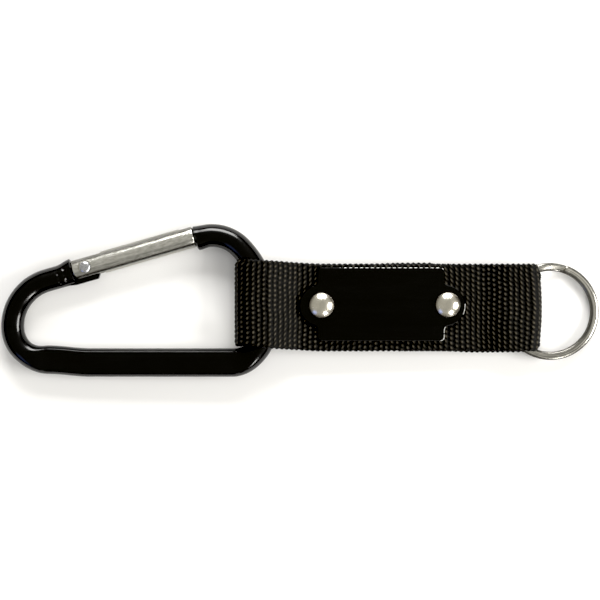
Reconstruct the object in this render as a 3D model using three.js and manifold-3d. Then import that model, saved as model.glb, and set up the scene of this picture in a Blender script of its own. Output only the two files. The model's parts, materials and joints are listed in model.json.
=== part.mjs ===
// Carabiner keyring: a bent-bar carabiner with a sprung gate, a riveted webbing strap and a split ring.
// Millimetres, +Z up. It lies flat: +X runs from the carabiner to the split ring, and z = 0 is the table.
// The origin is the middle of its footprint.

import * as THREE from 'three';
import { mergeVertices } from 'three/addons/utils/BufferGeometryUtils.js';
import Module from 'manifold-3d';

const wasm = await Module();
wasm.setup();

const { degToRad, smoothstep } = THREE.MathUtils;

// ---------------------------------------------------------------- driving dimensions

// Carabiner bar: round stock, its centreline laid out in the carabiner's own mid-plane.
const BAR_RADIUS = 3.3;
const BAR_LEFT_X = -82.95;
const BAR_RIGHT_X = -10.2;
const SPINE_Y = -17.9;
const HINGE_BEND_RADIUS = 13.7;
const LOWER_LEFT_RADIUS = 10.5;
const LOWER_RIGHT_RADIUS = 9.5;
const SHOULDER_RADIUS = 24;
const CROWN_RADIUS = 11.5;
const SHOULDER_Y = 7.1; // where the right side starts to lean towards the crown
const CROWN = new THREE.Vector2(-20.55, 19.2); // where that lean meets the line to the nose
const BAR_STEPS = 92;
const BAR_SIDES = 16;
const BAR_ROOM = 0.25; // kept clear between the bar and the webbing's fold

// The bar is pressed flat along its spine and spread at both ends.
const SPINE_HALF_WIDTH = 4.12;
const SPINE_HALF_THICKNESS = 2.05;
const SPINE_PRESS_RUN = 9; // length over which the round bar turns into the flat spine
const SPINE_STEP = 0.55; // the press pushes the bar this far into the eye beside the left bend
const SPINE_STEP_RUN = 12;
const HINGE_HALF_WIDTH = 3.75;
const NOSE_HALF_WIDTH = 3.5;
const END_HALF_THICKNESS = 3.1;
const END_PRESS_RUN = 4.5;
const END_RUN_ON = 2.5;
const HINGE_DROP = 0.55; // the bar runs this far inside the gate's line at its hinge end
const HINGE_SPREAD = -0.45; // and its pressed end spreads back out this far
const NOSE_DROP = 0.25;
const NOSE_SPREAD = 0.45; // its pressed end is spread into the eye

// Gate: a rod on a rivet. Its own frame has x along the rod and its origin on the rivet.
const GATE_ANGLE = 15.96;
const PIVOT = new THREE.Vector2(-61.73, 9.54);
const GATE_RADIUS = 3.15;
const GATE_TAIL = -3.7;
const GATE_TIP = 32.4;
const GATE_BEVEL = 0.35;
const GATE_SIDES = 28;
const END_GAP = 0.35; // from each end of the gate to the body
const BODY_START = GATE_TAIL - END_GAP;
const BODY_END = GATE_TIP + END_GAP;

const SLOT_HALF = 1.45;
const HINGE_SLOT_END = 5.2;
const NOSE_SLOT_START = 28.6;
const NOSE_SLOT_FLOOR = -1.6;
const TONGUE_HALF = 1.1;
const TONGUE_ROOT = 2.5; // how deep a tongue is buried in its end of the bar
const TONGUE_TAPER = 0.6; // and how much narrower it is there, on one side
const NOSE_TONGUE_CORNER = 0.9;

// The hinge tongue's heel is a cam: its reach grows evenly as the gate turns over it.
const CAM_REACH = 3.92;
const CAM_RATE = 1.13; // millimetres of pusher travel for each radian of gate
const GATE_OPEN = 45;
const TONGUE_TOP = 2.5;

const RIVET_PIN_RADIUS = 0.85;
const RIVET_HOLE_RADIUS = 1.15;
const RIVET_HEAD_RADIUS = 1.65;
const RIVET_SEAT_RADIUS = 1.95;
const RIVET_SEAT_Z = 2.45;
const RIVET_HEAD_BASE = 2.7;
const RIVET_HEAD_RISE = 0.65;

const BORE_RADIUS = 1.95;
const BORE_END = 18;
const CUT_OVERLAP = 1; // cutting shapes run this far past the face that they open
const PUSHER_NOSE_RADIUS = 1.25;
const PUSHER_FLANGE_RADIUS = 1.6;
const PUSHER_STEM_RADIUS = 0.85;
const PUSHER_GAP = 0.3;
const PUSHER_NOSE = CAM_REACH + PUSHER_GAP;
const PUSHER_FLANGE = 6.3;
const PUSHER_FLANGE_THICKNESS = 0.8;
const PUSHER_STEM_END = 10.4;
const SPRING_WIRE_RADIUS = 0.22;
const SPRING_RADIUS = 1.42;
const SPRING_TURNS = 6;
const SPRING_STEPS_PER_TURN = 12;

// The carabiner lies with its left bend on the table and its right side on the webbing.
const CARABINER_TILT = 1.13;

// Webbing: drawn in its own frame, whose x runs along the strap and whose z = 0 is between the layers.
const WEB_WIDTH = 25;
const WEB_CENTRE_Y = -2.05;
const WEB_THICKNESS = 1.2;
const STRAP_TILT = 1.42; // the carabiner's loop is thicker than the ring's, so the strap slopes
const STRAP_ORIGIN = new THREE.Vector3(-11.1, 0, 5.08);
const BAR_LOOP_LEFT = -19.0;
const BAR_LOOP_HALF = 5.0; // half the loop's outer height
const BAR_LOOP_FULL_FROM = -13.9; // the loop has its full height between these two
const BAR_LOOP_FULL_TO = -7.8;
const BAR_LOOP_CLOSED_TOP = -0.6; // and its layers lie flat together from here
const BAR_LOOP_CLOSED_BOTTOM = 1.9;
const RING_LOOP_RIGHT = 69.1;
const RING_LOOP_HALF = 3.1;
const RING_LOOP_FULL_FROM = 59.5;
const RING_LOOP_CLOSED = 54.6;
const LAP_START = 29.2; // the strap's two ends lap over each other here
const LAP_END = 38.3;
const FLEX_X = 52.85; // where the strap bends between the plate and the ring
const FLEX_GAP = 0.3;
const HOLLOW_TIP = 0.1; // half the height of a loop's hollow where its layers come together
const SKEW_FROM = 6; // left of the plate the webbing drifts sideways
const SKEW_SLOPE = 0.07;
const SKEW_EASE = 2.5;
const FOLD_STEPS = 10;
const EASE_STEPS = 8;
const STRAIGHT_STEP = 8;

const LAYER_GAP = 0.15;

const PLATE_THICKNESS = 0.8;
const PLATE_LEFT = 4.75;
const PLATE_RIGHT = 41.3;
const PLATE_BOTTOM = -11.68;
const PLATE_TOP = 9.42;
const PLATE_CORNER = 1.2;
const EAR_RADIUS = 5.9;
const EAR_Y = -1.5;
const EAR_LEFT = -0.45;
const EAR_RIGHT = 47.3;
const EAR_FILLET = 1.3;
const PLATE_BEVEL = 0.2;

const CAP_RADIUS = 3.5;
const CAP_RISE = 1.6;
const CAP_EDGE = 0.4;
const BACK_CAP_RISE = 0.9;
const BACK_CAP_EDGE = 0.3;
const POST_RADIUS = 1.2;
const POST_HOLE_RADIUS = 1.5;
const CAP_SIDES = 28;
const STRAP_RIVETS = [
  { side: 'left', x: 6.0, y: -1.4 },
  { side: 'right', x: 42.3, y: -1.25 },
];

// Split ring: two turns of flat wire, in its own frame, whose z is the ring's axis.
const RING_CENTRE = new THREE.Vector3(72.2, -3.2, 2.26);
const RING_TILT = 4.3;
const RING_OUTER_RADIUS = 14;
const WIRE_WIDTH = 2.3;
const WIRE_HEIGHT = 1.1;
const WIRE_CHAMFER = 0.3;
const TURN_PITCH = 1.25;
const RING_CROSSING = 18; // the wire changes layer over this many degrees each side of its crossing
const RING_END_GAP = 3;
const RING_ROOM = 0.3;
const RING_STEPS = 104;
const RING_TURN = 92; // where the crossing stands, from +X

// ---------------------------------------------------------------- materials

function metal(name, color, roughness, metalness = 1) {
  return new THREE.MeshStandardMaterial({ name, color, roughness, metalness });
}

const blackFinish = () => metal('black_finish', 0x0b0b0c, 0.22, 0.4);
const brightAluminium = () => metal('bright_aluminium', 0xc9c7bf, 0.32);
const steel = () => metal('steel', 0xb4b5b8, 0.3);
const nickel = () => metal('nickel', 0xc8c5bd, 0.16);
const lacquer = () => metal('black_lacquer', 0x060606, 0.15, 0.3);
const webbing = () => metal('black_webbing', 0x15130f, 0.85, 0);

// ---------------------------------------------------------------- solids

function solidOf(geometry) {
  const bare = geometry.clone();
  bare.deleteAttribute('normal');
  bare.deleteAttribute('uv');
  const merged = mergeVertices(bare, 1e-4);
  return new wasm.Manifold(new wasm.Mesh({
    numProp: 3,
    vertProperties: new Float32Array(merged.attributes.position.array),
    triVerts: new Uint32Array(merged.index.array),
  }));
}

function geometryOf(solid) {
  const { vertProperties, triVerts } = solid.getMesh();
  const geometry = new THREE.BufferGeometry();
  geometry.setAttribute('position', new THREE.BufferAttribute(new Float32Array(vertProperties), 3));
  geometry.setIndex(new THREE.BufferAttribute(new Uint32Array(triVerts), 1));
  geometry.computeVertexNormals();
  return geometry;
}

function add(geometry, ...others) {
  return geometryOf(others.reduce((sum, other) => sum.add(solidOf(other)), solidOf(geometry)));
}

function cut(geometry, ...cutters) {
  return geometryOf(cutters.reduce((rest, cutter) => rest.subtract(solidOf(cutter)), solidOf(geometry)));
}

function box(x0, x1, y0, y1, z0, z1) {
  const geometry = new THREE.BoxGeometry(x1 - x0, y1 - y0, z1 - z0);
  return geometry.translate((x0 + x1) / 2, (y0 + y1) / 2, (z0 + z1) / 2);
}

// A turned piece about the z axis: profile is a list of [radius, z] that starts and ends on the axis.
function turned(profile, sides) {
  const points = profile.map(([radius, z]) => new THREE.Vector2(radius, z));
  return new THREE.LatheGeometry(points, sides).rotateX(Math.PI / 2);
}

function cylinder(radius, z0, z1, sides = 24) {
  return turned([[0, z0], [radius, z0], [radius, z1], [0, z1]], sides);
}

// The same outline as plain points, with none repeated.
function distinct(shape, curveSegments = 12) {
  const points = shape.getPoints(curveSegments);
  const last = points.length - 1;
  return new THREE.Shape(points.filter((point, i) => point.distanceTo(points[i ? i - 1 : last]) > 1e-6));
}

// A flat piece: an outline in x and y, from z0 to z1.
function slab(shape, z0, z1, curveSegments = 12) {
  const options = { depth: z1 - z0, bevelEnabled: false };
  return new THREE.ExtrudeGeometry(distinct(shape, curveSegments), options).translate(0, 0, z0);
}

function mesh(name, geometry, material) {
  const made = new THREE.Mesh(geometry, material);
  made.name = name;
  return made;
}

// ---------------------------------------------------------------- the bar's route

// A flat route through corners, each rounded to its own radius.
class FilletedRoute extends THREE.Curve {
  constructor(corners) {
    super();
    this.spans = [];
    let from = corners[0].at;
    for (let i = 1; i < corners.length; i += 1) {
      const { at, radius } = corners[i];
      const heading = at.clone().sub(from).normalize();
      if (i === corners.length - 1) {
        this.addLine(from, at);
        break;
      }
      const next = corners[i + 1].at.clone().sub(at).normalize();
      const turn = Math.atan2(heading.cross(next), heading.dot(next));
      const trim = radius * Math.tan(Math.abs(turn) / 2);
      const start = at.clone().addScaledVector(heading, -trim);
      this.addLine(from, start);
      this.addArc(start, heading, radius, turn);
      from = at.clone().addScaledVector(next, trim);
    }
    this.total = this.spans.reduce((sum, span) => sum + span.length, 0);
  }

  addLine(from, to) {
    const length = from.distanceTo(to);
    const heading = to.clone().sub(from).normalize();
    this.spans.push({ length, point: (s) => from.clone().addScaledVector(heading, s) });
  }

  addArc(start, heading, radius, turn) {
    const left = new THREE.Vector2(-heading.y, heading.x).multiplyScalar(Math.sign(turn) * radius);
    const centre = start.clone().add(left);
    const length = radius * Math.abs(turn);
    this.spans.push({ length, point: (s) => start.clone().rotateAround(centre, turn * s / length) });
  }

  getPoint(t, target = new THREE.Vector3()) {
    const last = this.spans.length - 1;
    let s = t * this.total;
    let i = 0;
    while (i < last && s > this.spans[i].length) {
      s -= this.spans[i].length;
      i += 1;
    }
    const { x, y } = this.spans[i].point(s);
    return target.set(x, y, 0);
  }
}

const gateAlong = new THREE.Vector2(1, 0).rotateAround(new THREE.Vector2(), degToRad(GATE_ANGLE));
const gateAcross = new THREE.Vector2(-gateAlong.y, gateAlong.x);

function gatePoint(x, y) {
  return PIVOT.clone().addScaledVector(gateAlong, x).addScaledVector(gateAcross, y);
}

// The bar runs on into the gate's room at both ends, where carabinerBody cuts it square to the gate.
function barRoute() {
  const start = gatePoint(BODY_START + END_RUN_ON, -HINGE_DROP);
  const nose = gatePoint(BODY_END, -NOSE_DROP);
  const end = nose.clone().sub(CROWN).setLength(nose.distanceTo(CROWN) + END_RUN_ON).add(CROWN);
  const leftY = start.y - (start.x - BAR_LEFT_X) * Math.tan(degToRad(GATE_ANGLE));
  return new FilletedRoute([
    { at: start },
    { at: new THREE.Vector2(BAR_LEFT_X, leftY), radius: HINGE_BEND_RADIUS },
    { at: new THREE.Vector2(BAR_LEFT_X, SPINE_Y), radius: LOWER_LEFT_RADIUS },
    { at: new THREE.Vector2(BAR_RIGHT_X, SPINE_Y), radius: LOWER_RIGHT_RADIUS },
    { at: new THREE.Vector2(BAR_RIGHT_X, SHOULDER_Y), radius: SHOULDER_RADIUS },
    { at: CROWN, radius: CROWN_RADIUS },
    { at: end },
  ]);
}

// How the bar is pressed at a distance s along its route: half width, half thickness, step into the eye.
function pressAt(s, route) {
  const spans = route.spans.map((span) => span.length);
  const spineStart = spans[0] + spans[1] + spans[2] + spans[3];
  const spineEnd = spineStart + spans[4];
  const flat = smoothstep(s, spineStart - SPINE_PRESS_RUN, spineStart)
    * (1 - smoothstep(s, spineEnd, spineEnd + SPINE_PRESS_RUN));
  const step = smoothstep(s, spineStart - SPINE_STEP_RUN, spineStart)
    * (1 - smoothstep(s, spineStart, spineStart + SPINE_STEP_RUN));
  const hinge = 1 - smoothstep(s, END_RUN_ON, END_RUN_ON + END_PRESS_RUN);
  const nose = smoothstep(s, route.total - END_RUN_ON - END_PRESS_RUN, route.total - END_RUN_ON);
  const { lerp } = THREE.MathUtils;
  const endHalfWidth = nose > 0 ? NOSE_HALF_WIDTH : HINGE_HALF_WIDTH;
  return {
    halfWidth: lerp(lerp(BAR_RADIUS, SPINE_HALF_WIDTH, flat), endHalfWidth, hinge + nose),
    halfThickness: lerp(lerp(BAR_RADIUS, SPINE_HALF_THICKNESS, flat), END_HALF_THICKNESS, hinge + nose),
    step: hinge * HINGE_SPREAD + nose * NOSE_SPREAD + step * SPINE_STEP,
  };
}

// Presses a round bar swept along the route: each section is spread across the route, and cut off flat.
function press(geometry, route, steps) {
  const stations = [...Array(steps + 1).keys()].map((i) => ({
    s: route.total * i / steps,
    at: route.getPointAt(i / steps),
    along: route.getTangentAt(i / steps),
  }));
  const position = geometry.attributes.position;
  const point = new THREE.Vector3();
  for (let i = 0; i < position.count; i += 1) {
    point.fromBufferAttribute(position, i);
    const near = stations.reduce((best, station) => (
      Math.hypot(point.x - station.at.x, point.y - station.at.y)
        < Math.hypot(point.x - best.at.x, point.y - best.at.y) ? station : best));
    const inward = new THREE.Vector2(-near.along.y, near.along.x);
    const offset = (point.x - near.at.x) * inward.x + (point.y - near.at.y) * inward.y;
    const { halfWidth, halfThickness, step } = pressAt(near.s, route);
    const spread = offset * halfWidth / BAR_RADIUS + step;
    const z = THREE.MathUtils.clamp(point.z, -halfThickness, halfThickness);
    position.setXYZ(i, near.at.x + inward.x * spread, near.at.y + inward.y * spread, z);
  }
  return geometry;
}

function sweptRound(route, radius, sides, steps) {
  const section = new THREE.Shape();
  section.absarc(0, 0, radius, 0, 2 * Math.PI, false);
  return new THREE.ExtrudeGeometry(section, {
    steps, curveSegments: sides / 2, bevelEnabled: false, extrudePath: route,
  });
}

// ---------------------------------------------------------------- carabiner

// Where the cam's edge touches the pusher's flat nose when the gate stands at an angle.
function camPoint(angle) {
  const reach = CAM_REACH + CAM_RATE * angle;
  const facing = new THREE.Vector2(Math.cos(angle), -Math.sin(angle));
  const along = new THREE.Vector2(Math.sin(angle), Math.cos(angle));
  return facing.multiplyScalar(reach).addScaledVector(along, -CAM_RATE);
}

function hingeTongue() {
  const shape = new THREE.Shape();
  const heel = camPoint(degToRad(GATE_OPEN));
  shape.moveTo(BODY_START - TONGUE_ROOT, heel.y + TONGUE_TAPER);
  shape.lineTo(BODY_START, heel.y);
  for (let angle = GATE_OPEN; angle >= 0; angle -= GATE_OPEN / 6) {
    const { x, y } = camPoint(degToRad(angle));
    shape.lineTo(x, y);
  }
  shape.absellipse(0, -CAM_RATE, CAM_REACH, TONGUE_TOP + CAM_RATE, 0, Math.PI / 2, false);
  shape.lineTo(BODY_START - TONGUE_ROOT, TONGUE_TOP);
  return slab(shape, -TONGUE_HALF, TONGUE_HALF, 6);
}

function noseTongue() {
  const floor = NOSE_SLOT_FLOOR + END_GAP;
  const tip = NOSE_SLOT_START + END_GAP;
  const corner = NOSE_TONGUE_CORNER;
  const shape = new THREE.Shape();
  shape.moveTo(BODY_END + TONGUE_ROOT, floor);
  shape.lineTo(BODY_END + TONGUE_ROOT, TONGUE_TOP - TONGUE_TAPER);
  shape.lineTo(tip + corner, TONGUE_TOP);
  shape.absarc(tip + corner, TONGUE_TOP - corner, corner, Math.PI / 2, Math.PI, false);
  shape.lineTo(tip, floor);
  return slab(shape, -TONGUE_HALF, TONGUE_HALF, 6);
}

function toBody(geometry) {
  return geometry.rotateZ(degToRad(GATE_ANGLE)).translate(PIVOT.x, PIVOT.y, 0);
}

function carabinerBody() {
  const route = barRoute();
  const bar = press(sweptRound(route, BAR_RADIUS, BAR_SIDES, BAR_STEPS), route, BAR_STEPS);
  const far = 2 * BAR_RADIUS;
  const gateRoom = box(BODY_START, BODY_END, -far, far, -far, far);
  const hole = cylinder(RIVET_HOLE_RADIUS, -2 * TONGUE_HALF, 2 * TONGUE_HALF);
  return cut(add(cut(bar, toBody(gateRoom)), toBody(hingeTongue()), toBody(noseTongue())), toBody(hole));
}

function gate() {
  const rod = turned([
    [0, GATE_TAIL],
    [GATE_RADIUS - GATE_BEVEL, GATE_TAIL],
    [GATE_RADIUS, GATE_TAIL + GATE_BEVEL],
    [GATE_RADIUS, GATE_TIP - GATE_BEVEL],
    [GATE_RADIUS - GATE_BEVEL, GATE_TIP],
    [0, GATE_TIP],
  ], GATE_SIDES).rotateY(Math.PI / 2);
  const far = 2 * GATE_RADIUS;
  const beyondTail = GATE_TAIL - CUT_OVERLAP;
  const heel = cylinder(-GATE_TAIL, -far - CUT_OVERLAP, far + CUT_OVERLAP, 48);
  const heelRound = cut(box(beyondTail, 0, -far, 0, -far, far), heel);
  const bore = cylinder(BORE_RADIUS, HINGE_SLOT_END - CUT_OVERLAP, BORE_END).rotateY(Math.PI / 2);
  const hingeSlot = box(beyondTail, HINGE_SLOT_END, -far, far, -SLOT_HALF, SLOT_HALF);
  const noseSlot = box(NOSE_SLOT_START, GATE_TIP + CUT_OVERLAP, NOSE_SLOT_FLOOR, far, -SLOT_HALF, SLOT_HALF);
  const rivetHole = cylinder(RIVET_HOLE_RADIUS, -far, far);
  const frontSeat = cylinder(RIVET_SEAT_RADIUS, RIVET_SEAT_Z, far);
  const backSeat = cylinder(RIVET_SEAT_RADIUS, -far, -RIVET_SEAT_Z);
  return cut(rod, heelRound, hingeSlot, noseSlot, bore, rivetHole, frontSeat, backSeat);
}

// A shallow dome as [radius, z] steps from its edge to its top.
function domeSteps(radius, base, rise, steps = 5) {
  return [...Array(steps + 1).keys()].map((i) => {
    const angle = Math.PI / 2 * i / steps;
    return [i === steps ? 0 : radius * Math.cos(angle), base + rise * Math.sin(angle)];
  });
}

function gateRivet() {
  const head = [
    [RIVET_PIN_RADIUS, RIVET_HEAD_BASE],
    ...domeSteps(RIVET_HEAD_RADIUS, RIVET_HEAD_BASE, RIVET_HEAD_RISE),
  ];
  const foot = head.map(([radius, z]) => [radius, -z]).reverse();
  return turned([...foot, ...head], 20);
}

function gatePlunger() {
  const flangeEnd = PUSHER_FLANGE + PUSHER_FLANGE_THICKNESS;
  return turned([
    [0, PUSHER_NOSE],
    [PUSHER_NOSE_RADIUS, PUSHER_NOSE],
    [PUSHER_NOSE_RADIUS, PUSHER_FLANGE],
    [PUSHER_FLANGE_RADIUS, PUSHER_FLANGE],
    [PUSHER_FLANGE_RADIUS, flangeEnd],
    [PUSHER_STEM_RADIUS, flangeEnd],
    [PUSHER_STEM_RADIUS, PUSHER_STEM_END],
    [0, PUSHER_STEM_END],
  ], 20).rotateY(Math.PI / 2);
}

class HelixRoute extends THREE.Curve {
  constructor(radius, x0, x1, turns) {
    super();
    Object.assign(this, { radius, x0, x1, turns });
  }

  getPoint(t, target = new THREE.Vector3()) {
    const angle = 2 * Math.PI * this.turns * t;
    const x = this.x0 + (this.x1 - this.x0) * t;
    return target.set(x, this.radius * Math.cos(angle), this.radius * Math.sin(angle));
  }
}

function gateSpring() {
  const start = PUSHER_FLANGE + PUSHER_FLANGE_THICKNESS + SPRING_WIRE_RADIUS + LAYER_GAP;
  const end = BORE_END - SPRING_WIRE_RADIUS - LAYER_GAP;
  const helix = new HelixRoute(SPRING_RADIUS, start, end, SPRING_TURNS);
  return sweptRound(helix, SPRING_WIRE_RADIUS, 6, SPRING_TURNS * SPRING_STEPS_PER_TURN);
}

// Tilted about its lowest line, under the middle of the left bend's bar.
function placeCarabiner() {
  const slope = new THREE.Matrix4().makeRotationY(-degToRad(CARABINER_TILT));
  const lift = new THREE.Matrix4().makeTranslation(-BAR_LEFT_X, 0, BAR_RADIUS);
  return new THREE.Matrix4().makeTranslation(BAR_LEFT_X, 0, 0).multiply(slope).multiply(lift);
}

function carabiner() {
  const gateFrame = new THREE.Group();
  gateFrame.position.set(PIVOT.x, PIVOT.y, 0);
  gateFrame.rotation.z = degToRad(GATE_ANGLE);
  gateFrame.add(
    mesh('gate', gate(), brightAluminium()),
    mesh('gate_rivet', gateRivet(), steel()),
    mesh('gate_plunger', gatePlunger(), steel()),
    mesh('gate_spring', gateSpring(), steel()),
  );

  const group = new THREE.Group();
  group.applyMatrix4(placeCarabiner());
  group.add(mesh('carabiner_body', carabinerBody(), blackFinish()), gateFrame);
  return group;
}

// ---------------------------------------------------------------- webbing

function placeStrap() {
  const slope = new THREE.Matrix4().makeRotationY(degToRad(STRAP_TILT));
  const back = new THREE.Matrix4().makeTranslation(-STRAP_ORIGIN.x, 0, 0);
  return new THREE.Matrix4().makeTranslation(STRAP_ORIGIN).multiply(slope).multiply(back);
}

function placeRing() {
  const slope = new THREE.Matrix4().makeRotationY(degToRad(RING_TILT));
  return new THREE.Matrix4().makeTranslation(RING_CENTRE).multiply(slope);
}

// An eased step between two heights, as points in x and z.
function ease(x0, z0, x1, z1) {
  return [...Array(EASE_STEPS + 1).keys()].map((i) => {
    const t = i / EASE_STEPS;
    return [x0 + (x1 - x0) * t, z0 + (z1 - z0) * t * t * (3 - 2 * t)];
  });
}

// A round fold about (x, 0), from straight up to straight down, on the side that "side" points to.
function fold(x, halfHeight, depth, side) {
  return [...Array(FOLD_STEPS + 1).keys()].map((i) => {
    const angle = Math.PI * i / FOLD_STEPS;
    return [x + side * depth * Math.sin(angle), halfHeight * Math.cos(angle)];
  });
}

// A long straight run, in steps short enough to follow the webbing's sideways drift.
function straight(x0, x1, z) {
  const steps = Math.ceil(Math.abs(x1 - x0) / STRAIGHT_STEP);
  return [...Array(steps + 1).keys()].map((i) => [x0 + (x1 - x0) * i / steps, z]);
}

function profileShape(points) {
  return distinct(new THREE.Shape(points.map(([x, z]) => new THREE.Vector2(x, z))));
}

function drift(x) {
  const run = Math.max(0, SKEW_FROM - x);
  return SKEW_SLOPE * run * run / (run + SKEW_EASE);
}

// Webbing cut from a side profile: drawn in x and z, as wide as the webbing in y, then skewed.
function webbingFrom(shape) {
  const options = { depth: WEB_WIDTH, bevelEnabled: false };
  const geometry = new THREE.ExtrudeGeometry(shape, options);
  geometry.rotateX(Math.PI / 2).translate(0, WEB_CENTRE_Y + WEB_WIDTH / 2, 0);
  const position = geometry.attributes.position;
  for (let i = 0; i < position.count; i += 1) {
    position.setY(i, position.getY(i) + drift(position.getX(i)));
  }
  return geometry;
}

function postHoles() {
  return STRAP_RIVETS.map(({ x, y }) => (
    cylinder(POST_HOLE_RADIUS, -2 * WEB_THICKNESS, 2 * WEB_THICKNESS).translate(x, y, 0)));
}

// The space that the bar takes, in the strap's frame: the fold gives way to the bar's shoulder.
function barRoom() {
  const bar = sweptRound(barRoute(), BAR_RADIUS + BAR_ROOM, BAR_SIDES, BAR_STEPS);
  return bar.applyMatrix4(placeCarabiner()).applyMatrix4(placeStrap().invert());
}

// The carabiner's loop and the riveted middle, where the strap lies double and laps to three layers.
function webbingStrap() {
  const t = WEB_THICKNESS;
  const half = BAR_LOOP_HALF;
  const foldDepth = BAR_LOOP_FULL_FROM - BAR_LOOP_LEFT;
  const end = FLEX_X - FLEX_GAP;
  const shape = profileShape([
    ...straight(end, BAR_LOOP_CLOSED_TOP, t),
    ...ease(BAR_LOOP_CLOSED_TOP, t, BAR_LOOP_FULL_TO, half),
    ...fold(BAR_LOOP_FULL_FROM, half, foldDepth, -1),
    ...ease(BAR_LOOP_FULL_TO, -half, BAR_LOOP_CLOSED_BOTTOM, -t),
    ...straight(BAR_LOOP_CLOSED_BOTTOM, LAP_START, -t),
    [LAP_START, -2 * t],
    [LAP_END, -2 * t],
    ...straight(LAP_END, end, -t),
  ]);
  const hollow = profileShape([
    ...ease(BAR_LOOP_CLOSED_TOP + t / 2, HOLLOW_TIP, BAR_LOOP_FULL_TO, half - t),
    ...fold(BAR_LOOP_FULL_FROM, half - t, foldDepth - t, -1),
    ...ease(BAR_LOOP_FULL_TO, t - half, BAR_LOOP_CLOSED_TOP + t / 2, -HOLLOW_TIP),
  ]);
  shape.holes.push(hollow);
  return cut(webbingFrom(shape), barRoom(), ...postHoles());
}

// The space that the split ring sweeps, in the strap's frame: the fold gives way to the ring at both edges.
function ringSweep() {
  const outer = RING_OUTER_RADIUS + RING_ROOM;
  const inner = RING_OUTER_RADIUS - WIRE_WIDTH - RING_ROOM;
  const half = (TURN_PITCH + WIRE_HEIGHT) / 2 + RING_ROOM;
  const eye = cylinder(inner, -half - CUT_OVERLAP, half + CUT_OVERLAP, 72);
  const sweep = cut(cylinder(outer, -half, half, 72), eye);
  return sweep.applyMatrix4(placeRing()).applyMatrix4(placeStrap().invert());
}

// The ring's loop. Its end is round about the flex line, so that it turns against the strap's flat end.
function webbingRingLoop() {
  const t = WEB_THICKNESS;
  const half = RING_LOOP_HALF;
  const foldX = RING_LOOP_RIGHT - half;
  const shape = profileShape([
    ...fold(FLEX_X + t, t, t, -1),
    ...ease(RING_LOOP_CLOSED, -t, RING_LOOP_FULL_FROM, -half),
    ...fold(foldX, half, half, 1).reverse(),
    ...ease(RING_LOOP_FULL_FROM, half, RING_LOOP_CLOSED, t),
  ]);
  const hollow = profileShape([
    ...ease(RING_LOOP_CLOSED + t, -HOLLOW_TIP, RING_LOOP_FULL_FROM, t - half),
    ...fold(foldX, half - t, half - t, 1).reverse(),
    ...ease(RING_LOOP_FULL_FROM, half - t, RING_LOOP_CLOSED + t, HOLLOW_TIP),
  ]);
  shape.holes.push(hollow);
  return cut(webbingFrom(shape), ringSweep());
}

// ---------------------------------------------------------------- plate and rivets

// One ear: a round end that meets the panel's side in two hollow fillets.
function addEar(shape, panelX, tipX, direction) {
  const centreX = tipX - direction * EAR_RADIUS;
  const filletX = panelX + direction * EAR_FILLET;
  const run = direction * (filletX - centreX);
  const rise = Math.sqrt((EAR_RADIUS + EAR_FILLET) ** 2 - run ** 2);
  const lean = Math.atan2(rise, run);
  const out = direction > 0 ? 0 : Math.PI;
  const half = Math.PI;
  shape.absarc(filletX, EAR_Y - direction * rise, EAR_FILLET, out + half, out + half - lean, true);
  shape.absarc(centreX, EAR_Y, EAR_RADIUS, out - lean, out + lean, false);
  shape.absarc(filletX, EAR_Y + direction * rise, EAR_FILLET, out + lean - half, out - half, true);
}

function coverPlate() {
  const shape = new THREE.Shape();
  const c = PLATE_CORNER;
  const quarter = Math.PI / 2;
  shape.absarc(PLATE_LEFT + c, PLATE_BOTTOM + c, c, -2 * quarter, -quarter, false);
  shape.absarc(PLATE_RIGHT - c, PLATE_BOTTOM + c, c, -quarter, 0, false);
  addEar(shape, PLATE_RIGHT, EAR_RIGHT, 1);
  shape.absarc(PLATE_RIGHT - c, PLATE_TOP - c, c, 0, quarter, false);
  shape.absarc(PLATE_LEFT + c, PLATE_TOP - c, c, quarter, 2 * quarter, false);
  addEar(shape, PLATE_LEFT, EAR_LEFT, -1);
  const geometry = new THREE.ExtrudeGeometry(distinct(shape, 8), {
    depth: PLATE_THICKNESS - 2 * PLATE_BEVEL,
    bevelEnabled: true,
    bevelSegments: 1,
    bevelSize: PLATE_BEVEL,
    bevelThickness: PLATE_BEVEL,
    bevelOffset: -PLATE_BEVEL,
  });
  geometry.translate(0, 0, WEB_THICKNESS + LAYER_GAP + PLATE_BEVEL);
  return cut(geometry, ...postHoles());
}

function frontCap() {
  const base = WEB_THICKNESS + PLATE_THICKNESS + 2 * LAYER_GAP;
  return turned([
    [0, -WEB_THICKNESS],
    [POST_RADIUS, -WEB_THICKNESS],
    [POST_RADIUS, base],
    [CAP_RADIUS, base],
    ...domeSteps(CAP_RADIUS, base + CAP_EDGE, CAP_RISE - CAP_EDGE, 6),
  ], CAP_SIDES);
}

function backCap() {
  const base = WEB_THICKNESS + LAYER_GAP;
  const dome = domeSteps(CAP_RADIUS, base + BACK_CAP_EDGE, BACK_CAP_RISE - BACK_CAP_EDGE);
  return turned([...dome.reverse().map(([radius, z]) => [radius, -z]), [CAP_RADIUS, -base], [0, -base]],
    CAP_SIDES);
}

function strap() {
  const group = new THREE.Group();
  group.applyMatrix4(placeStrap());
  group.add(
    mesh('webbing_strap', webbingStrap(), webbing()),
    mesh('webbing_ring_loop', webbingRingLoop(), webbing()),
    mesh('cover_plate', coverPlate(), lacquer()),
  );
  for (const { side, x, y } of STRAP_RIVETS) {
    const front = mesh(`rivet_front_${side}`, frontCap(), nickel());
    const back = mesh(`rivet_back_${side}`, backCap(), nickel());
    front.position.set(x, y, 0);
    back.position.set(x, y, 0);
    group.add(front, back);
  }
  return group;
}

// ---------------------------------------------------------------- split ring

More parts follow.
